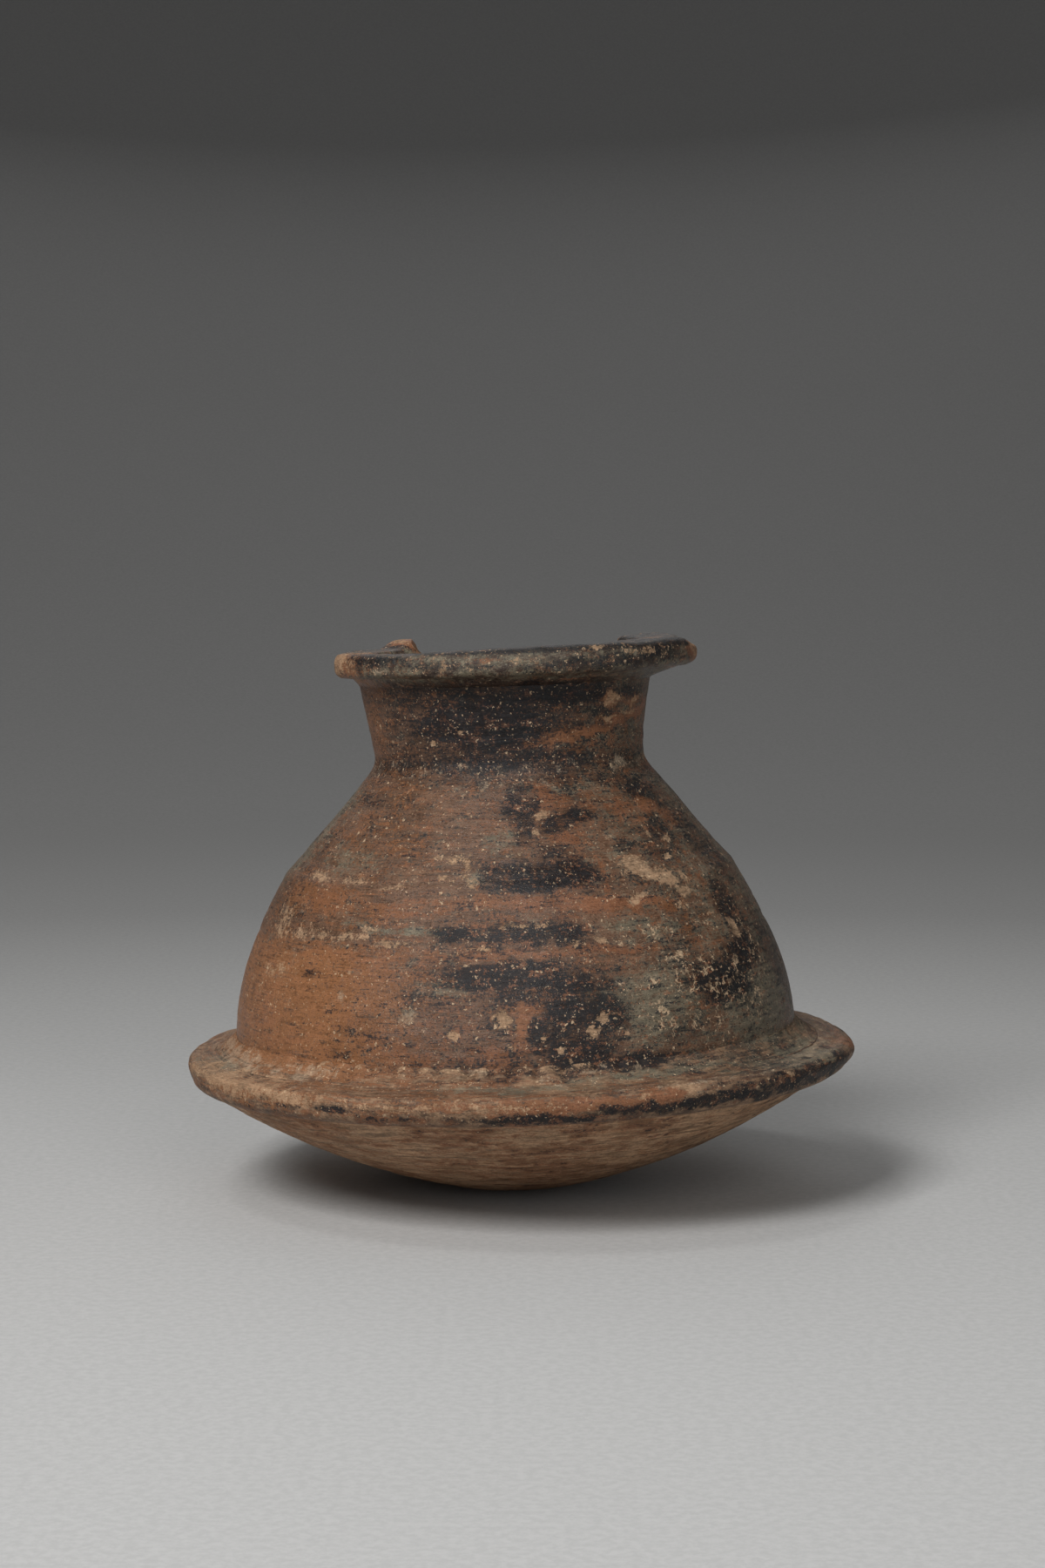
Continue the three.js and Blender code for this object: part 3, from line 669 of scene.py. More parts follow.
def fired_clay(name, colours, ground, ground_two, gloss=0.34, matt=0.8, speckle=1.0, hatching=1.0,
               flecks=0.3, bump=1.0, blotches=1.0):
    """Burnished, fire-clouded clay. The painted fields say where each colour lies, noises at several scales
    break their rims up into grains and streaks, and pale grit, dark pits and scratches are scattered over
    the whole."""
    n = Nodes(name)
    mm = n.millimetres()
    away = n.vector("ADD", mm, ELSEWHERE)
    drift = n.noise(mm, 0.06, 5, 0.6, swing=4)
    mottle = n.noise(mm, 0.32, 8, 0.7, 0.4, swing=6.5)
    mottle_two = n.noise(away, 0.42, 8, 0.72, 0.3, swing=6.5)
    grain = n.noise(mm, 1.5, 3, 0.75, swing=4)
    grain_two = n.noise(away, 1.9, 3, 0.8, swing=4)
    streak = n.noise(n.round_about(mm, 3.6), 0.17, 7, 0.66, 0.4, swing=5)
    fine = n.noise(n.round_about(mm, 3.6), 1.0, 4, 0.7, swing=4.5)
    lines = n.noise(n.round_about(mm, 10), 0.11, 6, 0.62, swing=5)
    hatch = n.noise(n.round_about(away, 30), 0.1, 5, 0.7, swing=5)

    patches = n.step(n.total((drift, 0.7), (streak, 0.6), (mottle_two, 0.35)), -0.35, 0.35)
    red = n.spread(
        "red", 0.26, 0.7, (mottle_two, 0.24 * speckle), (streak, 0.36 * speckle * blotches),
        (grain_two, 0.34 * speckle), (drift, 0.25), (lines, 0.35), (hatch, 0.15))
    golden = n.spread("gold", -0.1, 1.1, (drift, 0.6), (streak, 0.4), (mottle_two, 0.2))
    olive = n.spread(
        "olive", 0.25, 0.85, (mottle, 0.32 * speckle), (fine, 0.3 * speckle), (streak, 0.2),
        (grain_two, -0.2 * speckle))
    black = n.spread(
        "black", 0.14, 0.74, (mottle, 0.26 * speckle * blotches), (streak, 0.28 * blotches),
        (grain, 0.46 * speckle), (fine, 0.32 * speckle), (drift, 0.2 * blotches), (lines, 0.28 * blotches),
        (hatch, 0.16))
    flakes = n.step(
        n.total((mottle_two, 0.55), (grain_two, 0.5), (lines, 0.3), (n.field("black"), 0.12)), 0.36, 0.5)
    tan = n.spread("tan", 0.45, 0.7, (mottle_two, 0.4), (grain_two, 0.45))
    dust = n.spread("dust", 0.35, 0.85, (mottle, 0.4), (grain_two, 0.4))

    crowd = n.total(
        (mottle_two, 0.35), (n.field("black"), 0.12), (n.field("dust"), 0.35), (n.field("scratch"), 0.15))
    jolted = n.shaken(mm, 1.6, 1.3)
    grit = n.spots(jolted, 0.75, 0.28, flecks, crowd)
    fine_grit = n.spots(n.vector("ADD", jolted, ELSEWHERE), 1.7, 0.36, flecks, crowd)
    pores = n.spots(n.vector("MULTIPLY", mm, (1, 1, 1.4)), 1.15, 0.28, 0.25, n.total((mottle, -0.3)))
    cracks = n.add(
        "ShaderNodeTexVoronoi", {"Vector": n.shaken(mm, 0.4, 6), "Scale": 0.3}, feature="DISTANCE_TO_EDGE")
    hairs = n.step(cracks.outputs["Distance"], 0.075, 0.025)
    hairs = n.math("MULTIPLY", hairs, n.step(mottle_two, 0.02, 0.16))
    hairs = n.math("MULTIPLY", hairs, n.step(n.field("scratch"), 0.25, 0.7))

    colour = n.mix(patches, ground, ground_two)
    for share, strength, over in (
        (red, 0.95, n.mix(golden, colours.red_slip, colours.gold_slip)),
        (olive, 0.85, colours.smoke_olive),
        (black, 0.95, colours.fire_black_and_shade),
        (flakes, 0.55 * speckle * blotches, colours.red_slip),
        (tan, 0.75, colours.worn_tan),
        (dust, 0.55, colours.pale_dust),
        (grit, 0.7, colours.pale_grit),
        (fine_grit, 0.7, colours.pale_grit),
        (pores, 0.36, colours.fire_black_and_shade),
        (hairs, 0.75, colours.pale_grit),
    ):
        colour = n.cover(colour, share, strength, over)
    shade = n.total(
        (grain, 0.46 * speckle), (fine, 0.46 * speckle), (mottle, 0.34 * speckle), (lines, 0.3),
        (hatch, 0.28 * hatching))
    shade = n.math("MULTIPLY", shade, n.total((red, -0.25), (1.0, 1.0)))
    tones = n.mix(n.step(shade, -0.75, 0.75), (0.42, 0.42, 0.42), (1.58, 1.57, 1.56))
    colour = n.mix(1.0, colour, tones, "MULTIPLY")
    inside = n.field("inside")
    inner_patches = n.step(n.total((mottle, 0.8), (streak, 0.6)), -0.35, 0.35)
    colour = n.mix(inside, colour, n.mix(inner_patches, colours.inner_dark, colours.inner_clay))

    worn = n.math("MAXIMUM", n.math("MAXIMUM", tan, dust), n.math("MAXIMUM", grit, inside))
    roughness = n.total((worn, matt - gloss), (mottle, 0.1), (streak, 0.08))
    height = n.total(
        (grain, 0.4), (fine, 0.4), (mottle, 0.35), (hatch, 0.2 * hatching), (tan, -0.25), (pores, -0.5),
        (grit, 0.12))
    relief = n.add("ShaderNodeBump", {"Strength": 0.32 * bump, "Distance": 0.0003, "Height": height})
    return n.finish({
        "Base Color": colour, "Roughness": n.math("ADD", roughness, gloss, clamp=True),
        "Normal": relief.outputs[0], "Specular IOR Level": 0.2,
    })


def studio_paper(name, tint, greys):
    """Paper sweep with painted light: pale round the jar and greyer with the distance from a spot in front
    of it, a painted pool of light that falls off away from the jar. The greys are pairs of a distance in
    metres and a reflectance."""
    n = Nodes(name)
    place_at = n.add("ShaderNodeTexCoord").outputs["Object"]
    away = n.add("ShaderNodeVectorMath", {0: place_at, 1: PAINTED_LIGHT_CENTRE}, operation="DISTANCE")
    painted_falloff = n.add("ShaderNodeValToRGB", {0: n.math("MULTIPLY", away.outputs["Value"], 1 / SWEEP_REACH)})
    stops = painted_falloff.color_ramp.elements
    while len(stops) < len(greys):
        stops.new(0.5)
    for stop, (distance, grey) in zip(stops, greys):
        stop.position = distance / SWEEP_REACH
        stop.color = (grey, grey, grey, 1)
    fibres = n.noise(n.millimetres(), 0.5, 3, 0.7, swing=4)
    weave = n.mix(n.step(fibres, -0.7, 0.7), (0.95, 0.95, 0.95), (1.05, 1.05, 1.05))
    colour = n.mix(1.0, n.mix(1.0, painted_falloff.outputs[0], tint, "MULTIPLY"), weave, "MULTIPLY")
    return n.finish({"Base Color": colour, "Roughness": 0.9, "Specular IOR Level": 0.1})


# Settings that a user would change

def length_property(name, description, default):
    return FloatProperty(name=name, description=description, default=default, unit="LENGTH")


def power_property(name, description, default):
    return FloatProperty(name=name, description=description, default=default, unit="POWER")


def colour_property(name, description, default):
    return FloatVectorProperty(
        name=name, description=description, default=default, subtype="COLOR", min=0, max=1)


class JarSizes(bpy.types.PropertyGroup):
    """Sizes of the hand work on the jar's surface."""

    wall: length_property("Wall thickness", "Thickness of the clay wall", WALL_T * MM)
    unevenness: length_property("Unevenness", "Height of the broad swells left by hand building", 0.00026)
    facet_depth: length_property("Burnishing facets", "Depth of the long facets left by burnishing", 0.00006)
    grain_depth: length_property("Grain", "Depth of the coarse clay's grain", 0.000025)
    pit_depth: length_property("Pits", "Depth of the pits where grit fell out", 0.0003)
    crimp_depth: length_property("Crimp depth", "How far the crimps notch the luting strip", 0.0011)
    crimps: IntProperty(
        name="Crimps", description="Number of crimps round the luting strip", default=76, min=8, max=200)


class JarColours(bpy.types.PropertyGroup):
    """Colours of the jar's clay, slip, smoke and wear."""

    brown_slip: colour_property("Brown slip", "Ordinary burnished slip", (0.14, 0.077, 0.047))
    dull_slip: colour_property("Dull slip", "Greyer parts of the slip", (0.1, 0.062, 0.043))
    red_slip: colour_property("Red slip", "Slip where the fire left it red", (0.192, 0.082, 0.041))
    gold_slip: colour_property("Golden slip", "Slip where the fire left it golden", (0.24, 0.106, 0.046))
    # This black also lies as painted shade: in the crease under the neck, along the lip's top, just under
    # the lip and in the strip's notches.
    fire_black_and_shade: colour_property("Fire black", "Black of the fire clouds", (0.0068, 0.0078, 0.0098))
    smoke_olive: colour_property("Smoke olive", "Olive-grey bloom of the smoke", (0.158, 0.14, 0.097))
    worn_tan: colour_property("Worn tan", "Clay where the slip has worn or chipped off", (0.31, 0.2, 0.12))
    pale_dust: colour_property("Pale dust", "Pale dust and lime in the corners", (0.3, 0.225, 0.155))
    pale_grit: colour_property("Pale grit", "Pale grit in the clay", (0.44, 0.315, 0.2))
    bare_clay: colour_property("Bare clay", "Wiped clay of the round base", (0.35, 0.215, 0.124))
    bare_clay_red: colour_property("Redder clay", "Redder parts of the wiped base", (0.29, 0.157, 0.083))
    ledge_clay: colour_property("Ledge clay", "Clay of the ledge", (0.23, 0.14, 0.083))
    neck_dark: colour_property("Neck dark", "Dark brown of the neck and the lip", (0.055, 0.037, 0.029))
    inner_clay: colour_property("Inner clay", "Unslipped clay inside", (0.15, 0.09, 0.058))
    inner_dark: colour_property("Inner dark", "Darker clay inside", (0.07, 0.046, 0.034))


class StudioSettings(bpy.types.PropertyGroup):
    """Floor and light."""

    paper: colour_property("Paper", "Tint of the paper sweep", (1.0, 0.995, 0.98))
    key_power: power_property("Key light", "Power of the soft light from the left", 27)
    top_power: power_property("Top light", "Power of the soft light overhead", 2.2)
    fill_power: power_property("Fill light", "Power of the broad light in front", 9)
    back_power: power_property("Back light", "Power of the faint light behind", 6.0)
    ambient: FloatProperty(name="Ambient", description="Strength of the light all round", default=0.2, min=0)


# Pieces

# Each of these gives degrees from the front and how much there is at each of them.
LEDGE_THICKENING = ((-180, -90, -60, -35, 0, 40, 70, 95, 180), (0, 0, 0.7, 0.4, 0, -0.2, -0.8, -0.2, 0))
LEDGE_LIFT = ((-180, -100, -80, -60, 0, 60, 80, 100, 180), (0, 0.3, 0.5, 0.1, 0, -0.1, -0.7, -0.9, 0))
CRIMP_STRENGTH = (
    (-180, -120, -95, -55, -38, -10, 14, 30, 60, 120, 180),
    (0.7, 0.8, 0.2, 0.1, 0.8, 1, 0.8, 0.2, 0.15, 0.7, 0.7),
)


def build_base_saucer(sizes, colours):
    """Round-bottomed saucer: the underside's curve turned round the axis, and the floor the same curve one
    thickness up, joined by a bevel at the edge. Wiping streaks and pits are cut into the underside, and the
    point that it stands on is worn level."""
    under = np.linspace(0, SAUCER_R, UNDER_POINTS)
    floor = np.linspace(FLOOR_R, 0, FLOOR_POINTS)
    r = np.r_[under, floor][None, :]
    z = np.r_[under_z(under), under_z(floor) + FLOOR_T][None, :]
    slope = np.r_[np.gradient(under_z(under), under), 0 * floor][None, :]
    r, z, slope, az = np.broadcast_arrays(r, z, slope, ring_grid(SAUCER_STEPS))
    outer = np.broadcast_to(np.arange(r.shape[1]) < len(under), r.shape).astype(float)
    xyz = place(r, az, z)
    wiping = swells(xyz, (1, 5, 41, (1, 1, 5)), (0.6, 2.4, 42, (1, 1, 5)), (0.5, 1.5, 43, (1, 1, 4)))
    relief = clay_relief(xyz, sizes) + 0.07 * wiping - sizes.pit_depth / MM * pits(xyz, 6.5, 0.9, 0.3, 44)
    relief = relief * ramp(r, 0, 12) * ramp(r, SAUCER_R, SAUCER_R - 2)
    length = np.hypot(1, slope)
    z = z + np.where(outer > 0, -relief / length, relief)
    r = r + outer * relief * slope / length
    grid = place(r, az, z)
    standing = (outer > 0) & (r < 2 * FOOT_FLAT_R)
    grid[..., 2] = np.where(standing, np.maximum(grid[..., 2], level_ground(grid)), grid[..., 2])
    material = fired_clay("wiped_base_clay", colours, colours.bare_clay, colours.bare_clay_red,
                          gloss=0.66, matt=0.9, speckle=0.6, hatching=2.2, flecks=0.2, bump=1.2)
    fields, corners = paint(r, az, z, xyz, 1 - outer), (UNDER_POINTS - 1, UNDER_POINTS)
    dress("base_saucer", material, grid, fields, corners, (True, False))


def ledge_section():
    """Closed section of the ledge ring, and how many of its points lie on the rounded face and on the
    top."""
    face = resample(np.concatenate([
        quarter(SAUCER_R, TIP_Z, LIP_UNDER_W, TIP_Z - under_z(SAUCER_R), -90, 0),
        quarter(TIP_R - LIP_ROUND_W, TIP_Z, LIP_ROUND_W, LIP_TOP_T, 0, 90)[1:],
    ]), 0.4)
    top = resample([face[-1], (FOOT_R, SEAT_Z)], 0.45)[1:]
    hidden = [(FOOT_R - 5, SEAT_Z), (FLOOR_R, FLOOR_Z), (SAUCER_R - 7, under_z(SAUCER_R - 7) + 3)]
    return np.concatenate([face, top, hidden]), len(face), len(top)


def build_ledge_ring(sizes, colours):
    """Projecting ledge: its section carried round the axis, with its edge set a little off the axis, a
    raised line along the edge on the right, a bead that swells and thins, chips and pits."""
    section, n_face, n_top = ledge_section()
    r, z, az = np.broadcast_arrays(section[None, :, 0], section[None, :, 1], ring_grid(ROUND_STEPS))
    seen = np.zeros(r.shape)
    seen[:, :n_face + n_top - 4] = 1
    xyz = place(r, az, z)
    share = ramp(r, FOOT_R, TIP_R)
    deg = signed_degrees(az)
    relief = clay_relief(xyz, sizes) * 1.3 + swells(xyz, (0.16, 5.5, 52), (0.09, 2.4, 53))
    relief = relief - sizes.pit_depth / MM * 1.2 * pits(xyz, 4.2, 0.8, 0.35, 51)
    line = ridge(r, TIP_R - LIP_ROUND_W, 0.9) * (z > TIP_Z + 0.5)
    hollow = ridge(z, TIP_Z + 0.6, 0.8) * (r > TIP_R - 2.5)
    relief = relief + ramp(deg, -5, 20) * ramp(deg, 140, 110) * (0.35 * line - 0.2 * hollow)
    thick = np.interp(deg, *LEDGE_THICKENING)
    relief = relief + thick * ramp(z, TIP_Z, TIP_Z - 3) * (r > SAUCER_R - 1)
    edge_z = under_z(SAUCER_R)
    r, z = push_out(r, z, relief * seen * ramp(z, edge_z, edge_z + 2))
    lift = np.interp(deg, *LEDGE_LIFT)
    z = z + lift * share * ramp(z, edge_z, edge_z + 3)
    material = fired_clay("ledge_clay", colours, colours.ledge_clay, colours.dull_slip,
                          gloss=0.58, matt=0.88, speckle=0.85, hatching=0.8, flecks=0.34, bump=1.3)
    grid = place(r, az, z, LEDGE_OFFSET_X * share)
    corners = (0, n_face + n_top - 1)
    dress("ledge_ring", material, grid, paint(r, az, z, xyz, 1 - seen), corners)


def build_luting_strip(sizes, colours):
    """Strip of clay smeared into the corner over the ledge: a hollowed section carried round, its upper edge
    notched into tongues by the absolute value of a sine along the round, more deeply in some stretches."""
    az = ring_grid(ROUND_STEPS)
    ring = place(FOOT_R + 0 * az, az, SEAT_Z + 0 * az)
    tongue = np.abs(np.sin(sizes.crimps / 2 * az + swells(ring, (1.9, 24, 61), (1.5, 8, 66)))) ** 0.6
    strong = np.interp(signed_degrees(az), *CRIMP_STRENGTH)
    notch = (1 - tongue) * strong * sizes.crimp_depth / MM
    height = STRIP_H + 0.5 * swell(ring, 11, 62) - notch + 0.3 * strong
    reach = STRIP_W + 0.5 * swell(ring, 20, 63) - 0.5 * notch + 1.2
    proud = 0.08 + 0.5 * strong * (0.3 + 0.7 * tongue)
    t = np.linspace(0, 1, STRIP_POINTS)[None, :]
    toe_z = SEAT_Z - LEDGE_SLOPE / (LEDGE_W - LIP_ROUND_W) * reach - 0.12
    wall_r, _ = wall_point(height, 0 * height)
    top_z = SEAT_Z + height
    face_r = curve(FOOT_R + reach, FOOT_R + 1.9, wall_r + proud, t)
    face_z = curve(toe_z, SEAT_Z + 0.9, top_z, t)
    r = np.hstack([face_r, wall_r + 0.6 * proud, wall_r - 0.25, np.full(az.shape, FOOT_R - 0.3)])
    z = np.hstack([face_z, top_z + 0.4 * proud, top_z + 0.35 * proud, np.full(az.shape, SEAT_Z - 0.3)])
    az, strong, tongue = (np.broadcast_to(value, r.shape) for value in (az, strong, tongue))
    xyz = place(r, az, z)
    seen = np.ones(r.shape)
    seen[:, [0, -2, -1]] = 0
    lumps = (0.1 + 0.2 * strong) * swells(xyz, (1, 3.2, 64), (0.6, 1.4, 65))
    dents = strong * (1 - tongue) * 0.5 * ridge(z, SEAT_Z + 2.2, 1.2)
    relief = clay_relief(xyz, sizes) + lumps - dents - 0.25 * pits(xyz, 3.6, 0.7, 0.3, 67)
    r, z = push_out(r, z, relief * seen)
    fields = paint(r, az, z, xyz, 1 - seen)
    high = ramp(z, SEAT_Z + 1.6, SEAT_Z + 2.8) * strong * seen
    fields["tan"] = np.maximum(fields["tan"], high * tongue * (0.6 + 0.8 * swell(xyz, 6, 68)))
    # Black in the notches between the tongues is painted shade in those hollows.
    fields["black"] = np.maximum(fields["black"], high * (1 - tongue) * 0.9)
    material = fired_clay("luting_clay", colours, colours.ledge_clay, colours.dull_slip,
                          gloss=0.7, matt=0.9, speckle=0.7, hatching=1.2, flecks=0.42, bump=1.3)
    dress("outer_luting_strip", material, place(r, az, z), fields, (0, r.shape[1] - 2))


def build_luting_coil(sizes, colours):
    """Coil smeared into the corner between the wall and the floor inside, with finger dents along it."""
    foot, _ = wall_point(0.0, sizes.wall / MM)
    top_r, top_z = wall_point(COIL_H, sizes.wall / MM)
    toe_r = foot - COIL_W
    t = np.linspace(0, 1, COIL_POINTS)
    face_r = curve(top_r, foot - 0.3 * COIL_W, toe_r, t)
    face_z = curve(top_z, SEAT_Z - 0.5 * COIL_H, under_z(toe_r) + FLOOR_T, t)
    r, z, az = np.broadcast_arrays(
        np.r_[face_r, FLOOR_R, foot], np.r_[face_z, FLOOR_Z, SEAT_Z], ring_grid(ROUND_STEPS))
    xyz = place(r, az, z)
    seen = np.zeros(r.shape)
    seen[:, 1:COIL_POINTS - 1] = 1
    relief = clay_relief(xyz, sizes) * 2 + 0.5 * np.sin(32 * az + 2 * swell(xyz, 30, 71))
    r, z = push_out(r, z, relief * seen)
    fields = paint(r, az, z, xyz, np.ones(r.shape))
    material = fired_clay(
        "inner_coil_clay", colours, colours.inner_clay, colours.inner_dark, gloss=0.75, matt=0.9)
    dress("inner_luting_coil", material, place(r, az, z), fields, (0, COIL_POINTS - 1))


def wall_relief(r, az, z, s, xyz, sizes):
    """Relief of the wall's outer face: hand work, the lines left at and near the seams, chips and pits."""
    relief = clay_relief(xyz, sizes)
    waver = 0.8 * swell(xyz, 30, 81)
    for middle, width, height in (
        (SEAMS[1] + waver, 1.2, -0.14), (SEAMS[2] + waver, 1.6, 0.14), (SEAMS[2] + 6 + waver, 1.2, -0.1),
        (SEAMS[1] + 5 + waver, 0.8, -0.12), (SEAMS[3] + 8 - waver, 1.0, -0.08),
    ):
        relief = relief + height * ridge(s, middle, width)
    chips = painted([mark for mark in TAN if mark[4] > 85], r, az, z, xyz)
    relief = relief - 0.14 * ramp(chips, 0.35, 0.75)
    return relief - sizes.pit_depth / MM * 0.8 * pits(xyz, 7.5, 0.7, 0.3, 82)


def neck_top(az, r):
    """How far below its full height the neck is broken off at each place behind the break's plane."""
    x, y = r * np.sin(az), -r * np.cos(az)
    height = np.interp(x, *np.array(NECK_BREAK).T)
    jag = swells(place(r, az, 0 * r), (0.7, 4, 91), (0.35, 1.6, 92))
    return np.clip(-(height + jag), 0, 12) * ramp(y, BREAK_FROM_Y, BREAK_FROM_Y + 0.8)


def lip_edge(az):
    """Radius of the lip's outer edge at an azimuth."""
    off = RIM_OFFSET_X * np.sin(az)
    return off + np.sqrt(off ** 2 - RIM_OFFSET_X ** 2 + RIM_OUTER_R ** 2)


def straight(az, start, end, count):
    """Radii and heights of even points along a straight stretch of a section, at every azimuth."""
    t = np.linspace(0, 1, count)[None, :]
    return (1 - t) * (start[0] + 0 * az) + t * (end[0] + 0 * az), (1 - t) * start[1] + t * end[1] + 0 * az


def build_wall_course(index, node, material, sizes):
    """One course of the wall: its stretch of the outer face and of the inner face, one wall thickness apart
    along the face's normal, joined by seams that climb inwards. The inner face keeps the dents of the
    fingers. The last course is the neck, broken off behind."""
    last = index == len(COURSES) - 1
    s0, s1 = SEAMS[index], SEAMS[index + 1]
    n_out, n_in = int((s1 - s0) / OUTER_STEP) + 2, int((s1 - s0) / INNER_STEP) + 3
    thick = sizes.wall / MM
    az = ring_grid(ROUND_STEPS)
    top_out = np.full(az.shape, s1)
    top_in = np.full(az.shape, s1 + (0 if last else LAP))
    if last:
        top_out = top_out - neck_top(az, np.full(az.shape, NECK["top_r"]))
        top_in = top_in - neck_top(az, np.full(az.shape, MOUTH_R))
    low_in = s0 + (LAP if index else 0)
    s_out = s0 + np.linspace(0, 1, n_out)[None, :] * (top_out - s0)
    s_in = low_in + np.linspace(1, 0, n_in)[None, :] * (top_in - low_in)
    r_out, z_out = wall_point(s_out, 0 * s_out)
    relief = wall_relief(r_out, az + 0 * s_out, z_out, s_out, place(r_out, az, z_out), sizes)
    r_out, z_out = wall_point(s_out, -relief)
    r_in, z_in = wall_point(s_in, thick + 0 * s_in)
    inner_xyz = place(r_in, az, z_in)
    r_in, z_in = wall_point(s_in, thick + swells(inner_xyz, (0.35, 14, 83, (1, 1, 2.2)), (0.15, 5, 84)))
    across = np.linspace(0, 1, SEAM_POINTS + 2)[1:-1][None, :]
    r_top = r_out[:, -1:] + across * (r_in[:, :1] - r_out[:, -1:])
    z_top = z_out[:, -1:] + across * (z_in[:, :1] - z_out[:, -1:])
    broken = ramp(s1 - top_out, 0, 0.6) if last else 0 * az
    z_top = z_top + broken * swells(place(r_top, az, z_top), (0.35, 2.0, 93), (0.2, 0.9, 94))
    r, z = np.hstack([r_out, r_top, r_in]), np.hstack([z_out, z_top, z_in])
    az = np.broadcast_to(az, r.shape)
    inside = np.hstack([0 * r_out, 0 * r_top, 1 + 0 * r_in])
    fields = paint(r, az, z, place(r, az, z), inside)
    show_tear(fields, np.hstack([0 * r_out, broken + 0 * r_top, 0 * r_in]), 0.6)
    lean_right = 0.4 * ramp(z, 88, 96) * ramp(z, 112, 106)
    belly_left = 0.3 * ramp(z, 62, 68) * ramp(z, 84, 78) * np.clip(-3 * np.sin(az), 0, 1)
    corners = (0, n_out - 1, n_out + SEAM_POINTS, r.shape[1] - 1)
    dress(node, material, place(r, az, z, lean_right - belly_left), fields, corners)


def build_wall(sizes, colours):
    """The four courses of the wall, with the neck in a darker slip."""
    wall = fired_clay("burnished_wall_slip", colours, colours.brown_slip, colours.dull_slip)
    neck = fired_clay(
        "burnished_neck_slip", colours, colours.brown_slip, colours.neck_dark, gloss=0.42, blotches=0.45)
    for index, node in enumerate(("lower_wall", "belt_course", "shoulder_course")):
        build_wall_course(index, node, wall, sizes)
    build_wall_course(3, "neck_collar", neck, sizes)


def lip_sections(az):
    """Sections of the out-turned lip at each azimuth: seat, underside, rounded edge, top and mouth. The
    outer edge is a circle about a point off the axis, and its rounding is squarer than an ellipse."""
    core = lip_edge(az) - RIM_ROUND_W
    seat, flare = NECK["top_r"] - 0.3, MOUTH_R + MOUTH_FLARE

    def rounding(start, end, count, rise):
        a = np.radians(np.linspace(start, end, count))[1:]
        across, up = np.cos(a).clip(0) ** RIM_ROUNDNESS, np.abs(np.sin(a)) ** RIM_ROUNDNESS
        return core + RIM_ROUND_W * across, RIM_TIP_H + rise * up + 0 * az

    parts = (
        straight(az, (seat, RIM_ROOT_H - 0.1), (core, RIM_UNDER_H), 12),
        rounding(-90, 0, 16, RIM_UNDER_H - RIM_TIP_H),
        rounding(0, 90, 18, RIM_TOP_H - RIM_TIP_H),
        straight(az, (core - 0.4, RIM_TOP_H), (flare + 0.9, RIM_TOP_H - 0.15), 20),
        straight(az, (flare + 0.2, RIM_TOP_H - 0.6), (MOUTH_R, RIM_TOP_H - MOUTH_FLARE_H - 1), 9),
        straight(az, (MOUTH_R, RIM_TOP_H - MOUTH_FLARE_H - 1.5), (MOUTH_R, 0.02), 7),
        straight(az, (MOUTH_R + 1.0, 0.02), (seat - 0.1, 0.02), 3),
    )
    return np.hstack([part[0] for part in parts]), np.hstack([part[1] for part in parts])


def torn_end(r, h, line, side):
    """Azimuth at which the lip ends, for each of its points: where a straight break at the distance to the
    side that the break line gives for its height meets the circle of its radius, and never in front of the
    break's plane."""
    x_end = np.interp(h, *np.array(line).T)
    y_end = np.sqrt(np.maximum(r ** 2 - x_end ** 2, BREAK_FROM_Y ** 2))
    return side * np.arccos(np.clip(-y_end / r, -1, 1))


def close_ends(grid):
    """The lip's sections with rings of ever smaller ones added at each torn end, roughened like torn
    clay."""
    rings = np.linspace(0, 1, END_RINGS + 1)[1:, None, None]
    ends = []
    for row, side in ((0, -1), (-1, 1)):
        loop = grid[row]
        cap = loop + (loop.mean(0) - loop) * rings
        jag = swells(cap, (0.45, 2.4, 103), (0.25, 1.1, 104)) * np.minimum(1, 4 * rings[..., 0])
        cap = cap + jag[..., None] * np.array([-0.42 * side, 0.9, 0.1])
        cap[-1] = cap[-1, :1]
        ends.append(cap)
    return np.concatenate([ends[0][::-1], grid, ends[1]])


